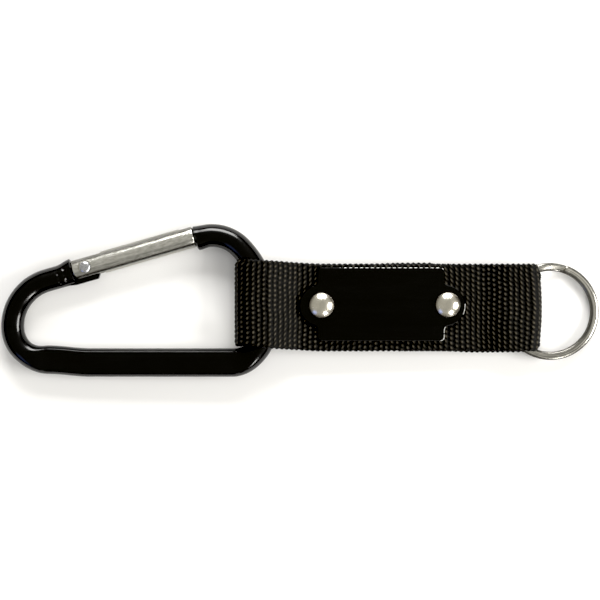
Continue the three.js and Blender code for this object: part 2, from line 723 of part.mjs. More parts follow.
// Two turns about z that change layer at one crossing, where both ends of the wire stop short.
class SplitRingRoute extends THREE.Curve {
  getPoint(t, target = new THREE.Vector3()) {
    const clear = RING_CROSSING + RING_END_GAP;
    const angle = clear + (720 - 2 * clear) * t;
    const climb = smoothstep(angle, 360 - RING_CROSSING, 360 + RING_CROSSING);
    const radius = RING_OUTER_RADIUS - WIRE_WIDTH / 2;
    const turn = degToRad(angle);
    return target.set(radius * Math.cos(turn), radius * Math.sin(turn), TURN_PITCH * (climb - 0.5));
  }
}

function splitRing() {
  const w = WIRE_WIDTH / 2;
  const h = WIRE_HEIGHT / 2;
  const c = WIRE_CHAMFER;
  const corners = [
    [h, w - c], [h - c, w], [c - h, w], [-h, w - c],
    [-h, c - w], [c - h, -w], [h - c, -w], [h, c - w],
  ];
  const section = new THREE.Shape(corners.map(([z, r]) => new THREE.Vector2(z, r)));
  return new THREE.ExtrudeGeometry(section, {
    steps: RING_STEPS, bevelEnabled: false, extrudePath: new SplitRingRoute(),
  });
}

function ring() {
  const made = mesh('split_ring', splitRing(), nickel());
  made.rotation.z = degToRad(RING_TURN);
  const group = new THREE.Group();
  group.applyMatrix4(placeRing());
  group.add(made);
  return group;
}

// ---------------------------------------------------------------- the whole object

const keyring = new THREE.Group();
keyring.name = 'carabiner_keyring';
keyring.add(carabiner(), strap(), ring());

export default keyring;
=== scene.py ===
"""Carabiner keyring: its detailed look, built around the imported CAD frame.

Shapes are drawn in millimetres, in the local frames of the carabiner, its gate, the strap and the split ring.
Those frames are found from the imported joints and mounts, and meshes are written in metres.
"""

import json
import math

import bmesh
import bpy
import numpy as np
from mathutils import Matrix, Vector


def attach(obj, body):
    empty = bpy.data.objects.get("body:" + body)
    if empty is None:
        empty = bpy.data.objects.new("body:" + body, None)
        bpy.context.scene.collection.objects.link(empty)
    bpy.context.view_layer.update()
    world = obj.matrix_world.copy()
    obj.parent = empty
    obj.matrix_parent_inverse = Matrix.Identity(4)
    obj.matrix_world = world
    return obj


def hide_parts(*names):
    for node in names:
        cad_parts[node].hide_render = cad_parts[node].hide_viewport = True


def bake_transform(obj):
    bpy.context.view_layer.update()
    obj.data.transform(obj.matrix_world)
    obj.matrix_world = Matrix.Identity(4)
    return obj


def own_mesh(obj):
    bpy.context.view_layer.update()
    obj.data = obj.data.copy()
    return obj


MM = 0.001

# ---- driving dimensions, in millimetres unless they say otherwise

# The bar's centre line, in the carabiner's frame.
BAR_RADIUS = 3.3
BAR_LEFT_X = -82.95
BAR_RIGHT_X = -10.2
SPINE_Y = -17.9
HINGE_BEND_RADIUS = 13.7
LOWER_LEFT_RADIUS = 10.5
LOWER_RIGHT_RADIUS = 9.5
SHOULDER_RADIUS = 24
CROWN_RADIUS = 11.5
SHOULDER_Y = 7.1  # where the right side starts to lean towards the crown
CROWN = (-20.55, 19.2)  # where that lean meets the line to the nose
BAR_STEP = 0.24
BAR_SIDES = 72

# Where the bar is pressed, and how far each press takes to fade out along it.
SPINE_HALF_WIDTH = 4.12
SPINE_HALF_THICKNESS = 2.05
SPINE_PRESS_RUN = 9
SPINE_STEP = 0.8  # the press pushes the bar this far into the eye beside the left bend
SPINE_STEP_RUN = 12
HINGE_HALF_WIDTH = 3.75
NOSE_HALF_WIDTH = 3.5
END_HALF_THICKNESS = 3.1
END_PRESS_RUN = 4.5
END_ROUNDING = 0.3
HINGE_DROP = 0.55  # the bar runs this far inside the gate's line at its hinge end
HINGE_SPREAD = -0.45  # and its pressed end spreads back out this far
NOSE_DROP = 0.25
NOSE_SPREAD = 0.45
NOSE_SQUARE_RUN = 5  # the nose's section turns square to the gate over this length
SHOULDER_SOFTNESS = 0.025  # of the corner between a pressed flat and the bar's round side

# Small press marks (along the bar from its hinge end, across it) where the flared end was struck.
PRESS_MARKS = [(2.0, 1.5), (2.3, -0.1), (2.1, -1.6), (3.9, 2.1), (4.0, 0.7), (4.1, -0.8)]
MARK_RADIUS = 0.42
MARK_DEPTH = 0.3

# The gate and what is in it, in the gate's frame: x from its rivet to the nose, y out of the eye.
GATE_ANGLE = math.radians(15.96)
PIVOT = (-61.73, 9.54)
GATE_RADIUS = 3.15
GATE_TAIL = -3.7
GATE_TIP = 32.4
GATE_BEVEL = 0.35
END_GAP = 0.35
BODY_START = GATE_TAIL - END_GAP
BODY_END = GATE_TIP + END_GAP
BAR_GAP = 0.2  # the painted bar swells a little nearer to the gate than its bare metal
SLOT_HALF = 1.45
HINGE_SLOT_END = 5.2
NOSE_SLOT_START = 28.6
NOSE_SLOT_FLOOR = -1.6
TONGUE_HALF = 1.1
TONGUE_ROOT = 2.5
TONGUE_TOP = 2.5
TONGUE_BEVEL = 0.12
TONGUE_TAPER = 0.6
HEEL_TAPER = 0.5
NOSE_TONGUE_CORNER = 0.9
CAM_REACH = 3.92
CAM_RATE = 1.13  # the pusher's travel for each radian of the gate
GATE_OPEN = 45  # degrees
BORE_RADIUS = 1.95
BORE_END = 18
PUSHER_GAP = 0.3
PUSHER_NOSE_RADIUS = 1.25
PUSHER_FLANGE_RADIUS = 1.6
PUSHER_STEM_RADIUS = 0.85
PUSHER_FLANGE = 6.3
PUSHER_FLANGE_THICKNESS = 0.8
PUSHER_STEM_END = 10.4
PUSHER_CHAMFER = 0.15
SPRING_WIRE_RADIUS = 0.22
SPRING_RADIUS = 1.42
SPRING_TURNS = 6
RIVET_PIN_RADIUS = 0.85
RIVET_HOLE_RADIUS = 1.15
RIVET_HEAD_RADIUS = 1.65
RIVET_SEAT_RADIUS = 1.95
RIVET_SEAT_Z = 2.45
RIVET_HEAD_BASE = 2.7
RIVET_HEAD_RISE = 0.65
RIVET_HEAD_FLAT = 0.35
CUTTER_REACH = 6  # cutters reach this far from the rod's middle

# The webbing's path, in the strap's frame: x towards the ring, z up, 0 between the two layers.
WEB_WIDTH = 25
WEB_CENTRE_Y = -2.05
WEB_THICKNESS = 1.2
BAR_LOOP_LEFT = -19.0
BAR_LOOP_HALF = 5.0
BAR_LOOP_FULL_FROM = -13.9
BAR_LOOP_CLOSED_TOP = -0.6
BAR_LOOP_CLOSED_BOTTOM = 1.9
DRAPE_BEND = 0.8  # each layer bends this far to both sides of where it leaves the other
RING_LOOP_RIGHT = 69.1
RING_LOOP_HALF = 3.1
RING_RISE_FROM = 51.5  # the webbing's two layers part gently between here
RING_RISE_TO = 60.5
LAP_START = 29.2
LAP_END = 38.3
LAP_RISE_RUN = 3
LAP_SHIFT = 0.35  # the lapped end lies this far aside
LAP_SHIFT_RUN = (22, 6)  # which it drifts to between these distances from its end
LOWER_SHIFT = 0.4  # and the ring loop's lower layer this far to the other side
FLEX_X = 52.85
SKEW_FROM = 6  # the loop round the bar runs off at a slant from here
SKEW_SLOPE = 0.07
SKEW_EASE = 2.5
FOLD_HANG = 0.9  # the left fold's upper corner hangs back this far
FOLD_BULGE = 0.55  # the right fold bulges this far at its middle
FOLD_TUCK = 0.9  # and its corners are this much further back
FOLD_FADES = ((-17, -13), (62, 68))  # where the left fold's shift ends and the right one's starts
HALVES_MEET = 23.8  # under the plate, where the two halves of the webbing's looks meet

# The weave: ribs across the webbing, each a row of beads.
RIB_PITCH = 1.56
RIB_WANDER = ((0.05, 0.11, 0.37, 0), (0.04, -0.23, 0.9, 2))  # (size, turn along, across and between faces)
RIB_RELIEF = 0.40
WEB_CORE_HALF = 0.22
BEAD_PITCH = 1.385
BEAD_STAGGER = 0.3  # of a bead, between one rib and the next
BEAD_SLANT = 1.35
SLANT_VARIETY = 0.4
BEAD_JITTER = 0.12
BEAD_SADDLE = 0.42  # how high a rib still is between two beads
SELVEDGE = 0.6
SELVEDGE_THINNING = 0.93
SELVEDGE_TEETH = 0.17
WEAVE_STEP = 0.257
WEAVE_COLUMNS = 113
BAR_CLEARANCE = 0.12
RING_CLEARANCE = (0.25, 0.6, 0.3)  # inside the ring, outside it and above it
BUNCH_DEPTH = 2  # what would cross the ring's wire is squeezed to this depth inside it
BUNCH_FADE = 0.5
BUNCH_FROM = -8  # in the ring's frame

# The plate and its rivets, in the strap's frame.
LAYER_GAP = 0.15
PLATE_THICKNESS = 0.8
PLATE_LEFT = 4.75
PLATE_RIGHT = 41.3
PLATE_BOTTOM = -11.68
PLATE_TOP = 9.42
PLATE_CORNER = 1.2
EAR_RADIUS = 5.9
EAR_Y = -1.5
EAR_LEFT = -0.45
EAR_RIGHT = 47.3
EAR_FILLET = 1.3
PLATE_BEVEL = 0.28

CAP_RADIUS = 3.5
CAP_RISE = 1.6
CAP_EDGE = 0.2
CAP_UNDERCUT = 0.15
BACK_CAP_RISE = 0.9
BACK_CAP_EDGE = 0.3
BACK_CAP_FLAT = 0.6
BACK_CAP_UNDERCUT = 0.1
POST_RADIUS = 1.2
POST_HOLE_RADIUS = 1.5
STRAP_RIVETS = {"left": (6.0, -1.4), "right": (42.3, -1.25)}

# The split ring. Its crossing, gap and turn are in degrees.
RING_OUTER_RADIUS = 14
WIRE_WIDTH = 2.3
WIRE_HEIGHT = 1.1
TURN_PITCH = 1.25
RING_CROSSING = 18
RING_END_GAP = 3
RING_TURN = 92
RING_STATIONS = 620
RING_END_TAPER = 0.12
RING_TAPER_RUN = 2.5  # degrees
WIRE_SIDES = 32
WIRE_FULLNESS = 0.95  # 1 is an oval section, and smaller is squarer

# Painted shade across the gate, for the dark surroundings reflected in it, from its inner side to its outer
# side, and painted shade across the ring's wire, darkest at its edges, from inside out.
GATE_PAINTED_SHADE = ((0.03, 1.0), (0.08, 0.5), (0.12, 0.2), (0.17, 0.3), (0.21, 0.62), (0.37, 0.62), (0.45, 1.0),
              (0.82, 1.0), (0.875, 0.3), (0.94, 0.25), (0.98, 0.6))
STREAK_REACH = 0.35  # the gate's painted shade stripes waver this far across it
WIRE_RIM_SHADE = ((0.0, 0.2), (0.2, 0.35), (0.34, 1.0), (0.7, 1.0), (0.86, 0.35), (1.0, 0.2))

# The stage, in metres, and the camera, in millimetres.
FLOOR_HALF = 1.6
FLOOR_TILES = 8
HORIZON = (0.10, (0.05, 0.036, 0.028))  # height and colour of the room's light low down
OVERHEAD = (0.48, (0.39, 0.382, 0.352))
CAMERA_HEIGHT = 550
CAMERA_X, CAMERA_Y = -0.15, 0.1
VIEW_WIDTH = 172.8  # across the picture at the webbing's height
VIEW_LEVEL = 4
SENSOR = 36
BLACK_LEVEL = 0.014  # the camera's deepest blacks

# ---- the frame

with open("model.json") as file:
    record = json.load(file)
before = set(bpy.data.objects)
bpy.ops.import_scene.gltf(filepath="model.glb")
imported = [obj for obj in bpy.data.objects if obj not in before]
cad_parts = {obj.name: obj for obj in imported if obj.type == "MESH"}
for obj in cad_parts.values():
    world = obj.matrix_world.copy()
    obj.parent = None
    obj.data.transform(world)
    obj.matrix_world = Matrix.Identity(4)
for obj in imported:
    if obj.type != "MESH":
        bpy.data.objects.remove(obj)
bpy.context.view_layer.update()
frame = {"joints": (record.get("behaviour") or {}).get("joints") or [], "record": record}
joints = {joint["name"]: joint for joint in frame["joints"]}
mounts = {mount["name"]: mount for mount in frame["record"]["mounts"]}


def local_frame(z_axis, x_hint, world, local):
    """The frame with that z axis, x near the hint, whose point local (mm) is the row frame's point world."""
    z = Vector(z_axis).normalized()
    x = Vector(x_hint)
    x = (x - x.dot(z) * z).normalized()
    turn = Matrix((x, z.cross(x), z)).transposed()
    made = turn.to_4x4()
    made.translation = Vector(world) - turn @ (Vector(local) * MM)
    return made


hinge, slide = joints["gate_hinge"], joints["pusher_slide"]
up = -Vector(hinge["axis"])
GATE = local_frame(up, slide["axis"], hinge["pos_m"], (0, 0, 0))
CARABINER = local_frame(up, (1, 0, 0), hinge["pos_m"], (*PIVOT, 0))
strap_up = -Vector(mounts["strap_underside"]["axis"])
STRAP = local_frame(strap_up, (1, 0, 0), joints["strap_flex"]["pos_m"], (FLEX_X, WEB_CENTRE_Y, 0))
RING = local_frame(joints["ring_spin"]["axis"], (1, 0, 0), joints["ring_spin"]["pos_m"], (0, 0, 0))

# ---- mesh code


def smoothstep(x, low, high):
    t = np.clip((np.asarray(x, float) - low) / (high - low), 0, 1)
    return t * t * (3 - 2 * t)


def plateau(x, start, end, run):
    """1 from start to end, easing to 0 over the run before it and the run after it."""
    return smoothstep(x, start - run, start) * (1 - smoothstep(x, end, end + run))


def signed_volume(points, quads):
    a, b, c, d = (points[quads[:, i]] for i in range(4))
    return (a * np.cross(b, c)).sum() + (a * np.cross(c, d)).sum()


def solid(name, points, quads, caps, matrix, sharp_deg=None):
    """A closed mesh object: points in mm in its own frame, quads as an (n, 4) array, caps as polygons."""
    if signed_volume(points, quads) < 0:
        quads, caps = quads[:, ::-1], [cap[::-1] for cap in caps]
    corners = np.concatenate([quads.ravel(), *caps]).astype(np.int32)
    sizes = np.concatenate([np.full(len(quads), 4), [len(cap) for cap in caps]]).astype(np.int32)
    mesh = bpy.data.meshes.new(name)
    mesh.vertices.add(len(points))
    mesh.vertices.foreach_set("co", (points * MM).astype(np.float32).ravel())
    mesh.loops.add(len(corners))
    mesh.loops.foreach_set("vertex_index", corners)
    mesh.polygons.add(len(sizes))
    mesh.polygons.foreach_set("loop_start", (np.cumsum(sizes) - sizes).astype(np.int32))
    mesh.polygons.foreach_set("use_smooth", np.ones(len(sizes), bool))
    mesh.update(calc_edges=True)
    mesh.validate()
    return placed(name, mesh, matrix, sharp_deg)


def added(name, data):
    made = bpy.data.objects.new(name, data)
    bpy.context.scene.collection.objects.link(made)
    return made


def placed(name, mesh, matrix, sharp_deg=None):
    """An object of that mesh, in the scene. Edges sharper than sharp_deg are shaded as corners."""
    if sharp_deg:
        mesh.set_sharp_from_angle(angle=math.radians(sharp_deg))
    made = added(name, mesh)
    made.matrix_world = matrix
    return made


def tube(name, sections, matrix, sharp_deg=None):
    """A closed tube through sections, an array of (stations, points round, 3)."""
    stations, sides = sections.shape[:2]
    around = np.arange(sides)
    onward = (around + 1) % sides
    row = np.arange(stations - 1)[:, None] * sides
    quads = np.stack([row + around, row + onward, row + sides + onward, row + sides + around], -1)
    caps = [around[::-1], around + (stations - 1) * sides]
    return solid(name, sections.reshape(-1, 3), quads.reshape(-1, 4), caps, matrix, sharp_deg)


def turned(name, profile, matrix, sides=96, sharp_deg=35):
    """A turned piece about z. The profile is a list of (radius, z) and both its ends are closed off flat."""
    angle = 2 * np.pi * np.arange(sides) / sides
    r, z = np.array(profile, float).T
    rings = np.stack([np.outer(r, np.cos(angle)), np.outer(r, np.sin(angle)),
                      np.repeat(z[:, None], sides, 1)], -1)
    return tube(name, rings, matrix, sharp_deg)


def arc(x, y, radius, start, end, count):
    angles = np.linspace(start, end, count)
    return [(x + radius * math.cos(a), y + radius * math.sin(a)) for a in angles]


def evaluated(piece):
    """A smooth-shaded mesh of a curve, or of a piece with its modifiers."""
    bpy.context.view_layer.update()
    mesh = bpy.data.meshes.new_from_object(piece.evaluated_get(bpy.context.evaluated_depsgraph_get()))
    for polygon in mesh.polygons:
        polygon.use_smooth = True
    return mesh


def slab(name, outline, z0, z1, bevel, matrix, holes=(), sharp_deg=25):
    """A flat piece with rounded edges: an outline in mm, from z0 to z1, with round holes (x, y, radius)."""
    curve = bpy.data.curves.new(name, "CURVE")
    curve.dimensions = "2D"
    curve.fill_mode = "BOTH"
    curve.extrude = ((z1 - z0) / 2 - bevel) * MM
    curve.bevel_depth = bevel * MM
    curve.offset = -bevel * MM
    curve.bevel_resolution = 2
    rings = [outline] + [arc(x, y, r, 0, -2 * math.pi, 49)[:-1] for x, y, r in holes]
    for ring in rings:
        spline = curve.splines.new("POLY")
        spline.points.add(len(ring) - 1)
        spline.use_cyclic_u = True
        for point, (x, y) in zip(spline.points, ring):
            point.co = (x * MM, y * MM, 0, 1)
    carrier = added(name, curve)
    mesh = evaluated(carrier)
    bpy.data.objects.remove(carrier)
    mesh.transform(Matrix.Translation((0, 0, (z0 + z1) / 2 * MM)))
    weld(mesh, 0.002 * MM)
    return placed(name, mesh, matrix, sharp_deg)


def weld(mesh, distance):
    """Joins points closer than that and turns all faces outward."""
    work = bmesh.new()
    work.from_mesh(mesh)
    bmesh.ops.remove_doubles(work, verts=work.verts, dist=distance)
    bmesh.ops.dissolve_degenerate(work, edges=work.edges, dist=distance)
    bmesh.ops.recalc_face_normals(work, faces=work.faces)
    work.to_mesh(mesh)
    work.free()


def block(x0, x1, y0, y1, z0, z1):
    """A plain block, used only to cut other pieces."""
    corners = [(x0, y0), (x1, y0), (x1, y1), (x0, y1)]
    rings = np.array([[(x, y, z) for x, y in corners] for z in (z0, z1)], float)
    return tube("cutter", rings, Matrix.Identity(4))


def round_cutter(radius, z0, z1):
    return turned("cutter", [(radius, z0), (radius, z1)], Matrix.Identity(4), 72)


def cut(piece, cutters):
    """Cuts the cutters out of a piece and removes them. All are in the same local frame."""
    matrix = piece.matrix_world.copy()
    piece.matrix_world = Matrix.Identity(4)
    for cutter in cutters:
        step = piece.modifiers.new("cut", "BOOLEAN")
        step.operation = "DIFFERENCE"
        step.solver = "EXACT"
        step.object = cutter
    mesh = evaluated(piece)
    piece.modifiers.clear()
    piece.data = mesh
    for cutter in cutters:
        bpy.data.objects.remove(cutter)
    mesh.set_sharp_from_angle(angle=math.radians(30))
    piece.matrix_world = matrix
    return piece


def dome(radius, base, rise, flat, steps):
    """Points (radius, z) from a dome's edge to its top, which is a small flat of radius flat."""
    angles = np.linspace(0, np.pi / 2, steps)
    return [(flat + (radius - flat) * math.cos(a), base + rise * math.sin(a)) for a in angles]


# ---- materials


class Nodes:
    """A material's node tree, with short ways to add nodes and link them."""

    def __init__(self, name):
        self.material = bpy.data.materials.new(name)
        self.material.use_nodes = True
        self.tree = self.material.node_tree
        self.shader = self.tree.nodes["Principled BSDF"]

    def add(self, kind, **settings):
        node = self.tree.nodes.new(kind)
        for key, value in settings.items():
            if key in node.inputs:
                self.link(value, node.inputs[key])
            else:
                setattr(node, key, value)
        return node

    def link(self, value, target):
        """Links an input to an output, or gives it a plain value."""
        if isinstance(value, bpy.types.NodeSocket):
            self.tree.links.new(value, target)
        else:
            target.default_value = value

    def place(self, scale=(1, 1, 1)):
        """The piece's own coordinates in metres, scaled along each of its axes."""
        source = self.add("ShaderNodeTexCoord")
        return self.add("ShaderNodeMapping", Vector=source.outputs["Object"], Scale=scale).outputs["Vector"]

    def share(self, value, low, high):
        """How far a value is from low to high, from 0 to 1."""
        node = self.add("ShaderNodeMapRange")
        node.inputs["From Min"].default_value = low
        node.inputs["From Max"].default_value = high
        self.link(value, node.inputs["Value"])
        return node.outputs["Result"]

    def arithmetic(self, operation, a, b):
        node = self.add("ShaderNodeMath", operation=operation)
        self.link(a, node.inputs[0])
        self.link(b, node.inputs[1])
        return node.outputs["Value"]

    def axes(self, vector):
        node = self.add("ShaderNodeSeparateXYZ", Vector=vector)
        return node.outputs["X"], node.outputs["Y"], node.outputs["Z"]

    def multiplied(self, a, b, factor=1.0):
        node = self.add("ShaderNodeMix", data_type="RGBA", blend_type="MULTIPLY", Factor=factor, A=a, B=b)
        return node.outputs["Result"]

    def noise(self, vector, scale, detail=3.0, roughness=0.5):
        node = self.add("ShaderNodeTexNoise", Vector=vector, Scale=scale, Detail=detail, Roughness=roughness)
        return node.outputs["Fac"]

    def ramp(self, factor, *stops):
        """A colour ramp over stops of (position, grey or colour)."""
        node = self.add("ShaderNodeValToRGB", Fac=factor)
        elements = node.color_ramp.elements
        while len(elements) < len(stops):
            elements.new(0.5)
        for element, (position, value) in zip(elements, stops):
            colour = (value,) * 3 if isinstance(value, (int, float)) else value
            element.position = position
            element.color = (*colour, 1)
        return node.outputs["Color"]

    def bump(self, height, strength, distance):
        node = self.add("ShaderNodeBump", Height=height, Strength=strength, Distance=distance)
        self.set(Normal=node.outputs["Normal"])

    def set(self, **inputs):
        """Gives the shader's inputs their values, or the outputs that drive them."""
        for key, value in inputs.items():
            self.link(value, self.shader.inputs[key.replace("_", " ")])


def black_finish():
    """Gloss black over a drawn bar: a faint orange peel, with a few dull rubs."""
    m = Nodes("black_finish")
    m.set(Base_Color=(0.0012, 0.0012, 0.0013, 1), Specular_IOR_Level=0.45)
    m.set(Roughness=m.ramp(m.noise(m.place(), 260, 4), (0.35, 0.13), (0.75, 0.24)))
    m.bump(m.noise(m.place(), 900, 2), 0.05, 0.0002)
    return m.material


def bright_aluminium():
    """Drawn rod: fine lines along its length, and painted shade in stripes along its sides, for the dark
    surroundings reflected there.
    """
    m = Nodes("bright_aluminium")
    m.set(Metallic=1.0, Specular_Tint=(0.35, 0.35, 0.33, 1))
    lines = m.noise(m.place((0.02, 1, 1)), 3800, 3, 0.6)
    dashes = m.noise(m.place((0.22, 1, 1)), 2600, 3, 0.6)
    metal = m.ramp(dashes, (0.35, (0.72, 0.715, 0.66)), (0.62, (0.95, 0.945, 0.89)))
    waver = m.arithmetic("MULTIPLY", m.noise(m.place((0.05, 1, 1)), 1500, 2), STREAK_REACH * MM)
    shifted = m.arithmetic("ADD", m.axes(m.place())[1], waver)
    # painted shade: darker stripes along the rod's sides, for the dark surroundings that they reflect
    painted_stripes = m.ramp(m.share(shifted, -GATE_RADIUS * MM, GATE_RADIUS * MM), *GATE_PAINTED_SHADE)
    m.set(Base_Color=m.multiplied(metal, painted_stripes))
    m.set(Roughness=m.ramp(dashes, (0.3, 0.17), (0.75, 0.26)))
    mixed = m.add("ShaderNodeMix", Factor=0.35, A=lines, B=dashes)
    m.bump(mixed.outputs["Result"], 0.35, 0.00006)
    return m.material


def steel():
    m = Nodes("steel")
    m.set(Metallic=1.0)
    grain = m.noise(m.place(), 2400, 3)
    m.set(Base_Color=m.ramp(grain, (0.3, (0.62, 0.63, 0.66)), (0.7, (0.78, 0.79, 0.82))))
    m.set(Roughness=m.ramp(grain, (0.3, 0.22), (0.75, 0.36)))
    m.bump(grain, 0.12, 0.0001)
    return m.material


def nickel(name="nickel", tint=(0.93, 0.89, 0.77), rings=False):
    """Polished nickel plate with a warm cast and handling haze, and on a coiled wire, lines along it and
    painted shade at its edges.
    """
    m = Nodes(name)
    m.set(Metallic=1.0, Specular_Tint=(0.3, 0.29, 0.26, 1))
    haze = m.noise(m.place(), 420, 4, 0.6)
    dull = tuple(0.86 * c for c in tint)
    colour = m.ramp(haze, (0.35, dull), (0.65, tint))
    if rings:
        colour = m.multiplied(colour, wire_lines_and_rim_shade(m))
    m.set(Base_Color=colour)
    m.set(Roughness=m.ramp(haze, (0.3, 0.18), (0.8, 0.31)))
    m.bump(m.noise(m.place(), 1500, 2), 0.06, 0.0001)
    return m.material


def wire_lines_and_rim_shade(m):
    """Lines that follow a coiled wire, and painted shade that darkens its inner and outer edges."""
    distance = m.add("ShaderNodeVectorMath", operation="LENGTH")
    m.link(m.place((1, 1, 0)), distance.inputs[0])
    radius = distance.outputs["Value"]
    slow_x, slow_y, _ = m.axes(m.place((0.012, 0.012, 1)))
    drawn = m.add("ShaderNodeCombineXYZ", X=radius, Y=slow_y, Z=slow_x)
    lines = m.ramp(m.noise(drawn.outputs["Vector"], 5200, 2), (0.38, 0.3), (0.56, 1.0))
    # painted shade: the wire is darker at its inner and outer edges than in its middle
    rim_shade = m.ramp(m.share(radius, (RING_OUTER_RADIUS - WIRE_WIDTH) * MM, RING_OUTER_RADIUS * MM), *WIRE_RIM_SHADE)
    return m.multiplied(lines, rim_shade)


def lacquer():
    """Gloss black lacquer with faint long scratches."""
    m = Nodes("black_lacquer")
    m.set(Base_Color=(0.0018, 0.0018, 0.0018, 1), Specular_IOR_Level=0.42)
    m.set(Roughness=m.ramp(m.noise(m.place((0.15, 1, 1)), 900, 4), (0.4, 0.10), (0.8, 0.22)))
    m.bump(m.noise(m.place(), 120, 3), 0.05, 0.0004)
    return m.material


def painted_highlight_edge(name, dashed):
    """The plate's rim with a painted highlight: a pale colour in patches, and in dashes where the webbing's
    ribs are reflected in it.
    """
    m = Nodes(name)
    m.set(Roughness=0.25)
    # painted highlight: where the rim's colour turns pale
    highlight_share = m.ramp(m.noise(m.place(), 500, 3, 0.7), (0.36, 0.0), (0.46, 1.0))
    if dashed:
        painted_stripes = m.add("ShaderNodeTexWave", bands_direction="DIAGONAL", Scale=math.tau / (10 * RIB_PITCH * MM),
                      Distortion=0.6, Detail=1.0, Vector=m.place())
        reach = m.share(m.axes(m.place())[0], (PLATE_LEFT + 3) * MM, (PLATE_LEFT + 11) * MM)
        highlight_share = m.ramp(m.arithmetic("MULTIPLY", painted_stripes.outputs["Fac"], reach), (0.35, 0.0), (0.55, 1.0))
    colour = m.add("ShaderNodeMix", data_type="RGBA", Factor=highlight_share, A=(0.01, 0.01, 0.01, 1),
                   B=(0.85, 0.85, 0.82, 1))
    m.set(Base_Color=colour.outputs["Result"])
    return m.material


def webbing():
    """Black cord: each bead is a bundle of fibres, with a painted brown highlight on its crest and painted
    shade, near black, in the grooves, its tone varying in patches.
    """
    m = Nodes("black_webbing")
    m.set(Specular_IOR_Level=0.16, Sheen_Weight=0.02, Sheen_Roughness=0.5)
    m.set(Sheen_Tint=(0.55, 0.47, 0.38, 1))
    # the painted highlight on the beads' crests and painted shade in the grooves, stored on the mesh
    lift = m.add("ShaderNodeAttribute", attribute_name="weave_crest_glint")
    along = m.add("ShaderNodeAttribute", attribute_name="weave_place")
    fibre = m.add("ShaderNodeMapping", Vector=along.outputs["Vector"], Scale=(0.25, 1, 1))
    strands = m.noise(fibre.outputs["Vector"], 9, 3, 0.6)
    dust_and_crest_glint = m.noise(along.outputs["Vector"], 0.7, 4, 0.75)
    # painted highlight, brown, on the crests, and painted shade, near black, in the grooves
    colour = m.ramp(lift.outputs["Fac"], (0.28, (0.0004, 0.0004, 0.0003)), (0.62, (0.009, 0.008, 0.0058)),
                    (0.95, (0.105, 0.092, 0.067)))
    m.set(Base_Color=m.multiplied(colour, m.ramp(dust_and_crest_glint, (0.36, 0.25), (0.64, 1.0)), 0.9))
    m.set(Roughness=m.ramp(strands, (0.3, 0.42), (0.7, 0.62)))
    m.bump(strands, 0.5, 0.00012)
    return m.material


def pale_floor():
    m = Nodes("pale_floor")
    tone = m.noise(m.place(), 14, 2)
    m.set(Base_Color=m.ramp(tone, (0.3, (0.90, 0.895, 0.885)), (0.7, (0.93, 0.925, 0.92))))
    m.set(Roughness=0.9, Specular_IOR_Level=0.1)
    return m.material


BLACK_FINISH = black_finish()
ALUMINIUM = bright_aluminium()
STEEL = steel()
NICKEL = nickel()
LACQUER = lacquer()
DASHED_PAINTED_HIGHLIGHT = painted_highlight_edge("dashed_painted_highlight", True)
PAINTED_HIGHLIGHT_EDGE = painted_highlight_edge("painted_highlight_edge", False)
WEBBING = webbing()


def dress(piece, body, slot, material, *nodes):
    """Gives a piece its material and its CAD body, and hides the CAD nodes that it stands for. The slot is
    not used.
    """
    piece.data.materials.clear()
    piece.data.materials.append(material)
    if body:
        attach(piece, body)
    if nodes:
        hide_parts(*nodes)


# ---- the bent bar


def unit(vector):
    return np.asarray(vector, float) / np.linalg.norm(vector)


def filleted(corners):
    """Spans (length, start, heading, turn) of a flat route through corners (point, radius)."""
    spans = []
    at = np.array(corners[0][0], float)
    for (corner, radius), (beyond, _) in zip(corners[1:-1], corners[2:]):
        heading = unit(np.subtract(corner, at))
        onward = unit(np.subtract(beyond, corner))
        turn = math.atan2(heading[0] * onward[1] - heading[1] * onward[0], heading @ onward)
        trim = radius * math.tan(abs(turn) / 2)
        start = np.array(corner) - heading * trim
        spans.append((np.linalg.norm(start - at), at, heading, 0.0))
        spans.append((radius * abs(turn), start, heading, turn))
        at = np.array(corner) + onward * trim
    end = np.array(corners[-1][0], float)
    spans.append((np.linalg.norm(end - at), at, unit(end - at), 0.0))
    return spans


def along(spans, step):
    """Distances, points and headings about every step along the spans."""
    distances, points, headings = [], [], []
    gone = 0.0
    for length, start, heading, turn in spans:
        count = max(2, round(length / step))
        left = np.array([-heading[1], heading[0]])
        for s in np.linspace(0, length, count, endpoint=False):
            if turn:
                radius, angle = length / turn, turn * s / length
                points.append(start + radius * (heading * math.sin(angle) + left * (1 - math.cos(angle))))
                headings.append(heading * math.cos(angle) + left * math.sin(angle))
            else:
                points.append(start + heading * s)
                headings.append(heading)
            distances.append(gone + s)
        gone += length
    points.append(points[-1] + headings[-1] * (gone - distances[-1]))
    headings.append(headings[-1])
    distances.append(gone)
    return np.array(distances), np.array(points), np.array(headings)


gate_along = np.array([math.cos(GATE_ANGLE), math.sin(GATE_ANGLE)])
gate_across = np.array([-gate_along[1], gate_along[0]])


def gate_point(x, y):
    """A point of the closed gate's frame, in the carabiner's."""
    return np.array(PIVOT) + gate_along * x + gate_across * y


def bar_spans():
    """The bar's centre line, from its hinge end round the spine to its nose."""
    start = gate_point(GATE_TAIL - BAR_GAP, -HINGE_DROP)
    nose = gate_point(GATE_TIP + BAR_GAP, -NOSE_DROP)
    left_y = start[1] - (start[0] - BAR_LEFT_X) * math.tan(GATE_ANGLE)
    return filleted([
        (start, 0),
        ((BAR_LEFT_X, left_y), HINGE_BEND_RADIUS),
        ((BAR_LEFT_X, SPINE_Y), LOWER_LEFT_RADIUS),
        ((BAR_RIGHT_X, SPINE_Y), LOWER_RIGHT_RADIUS),
        ((BAR_RIGHT_X, SHOULDER_Y), SHOULDER_RADIUS),
        (CROWN, CROWN_RADIUS),
        (nose, 0),
    ])


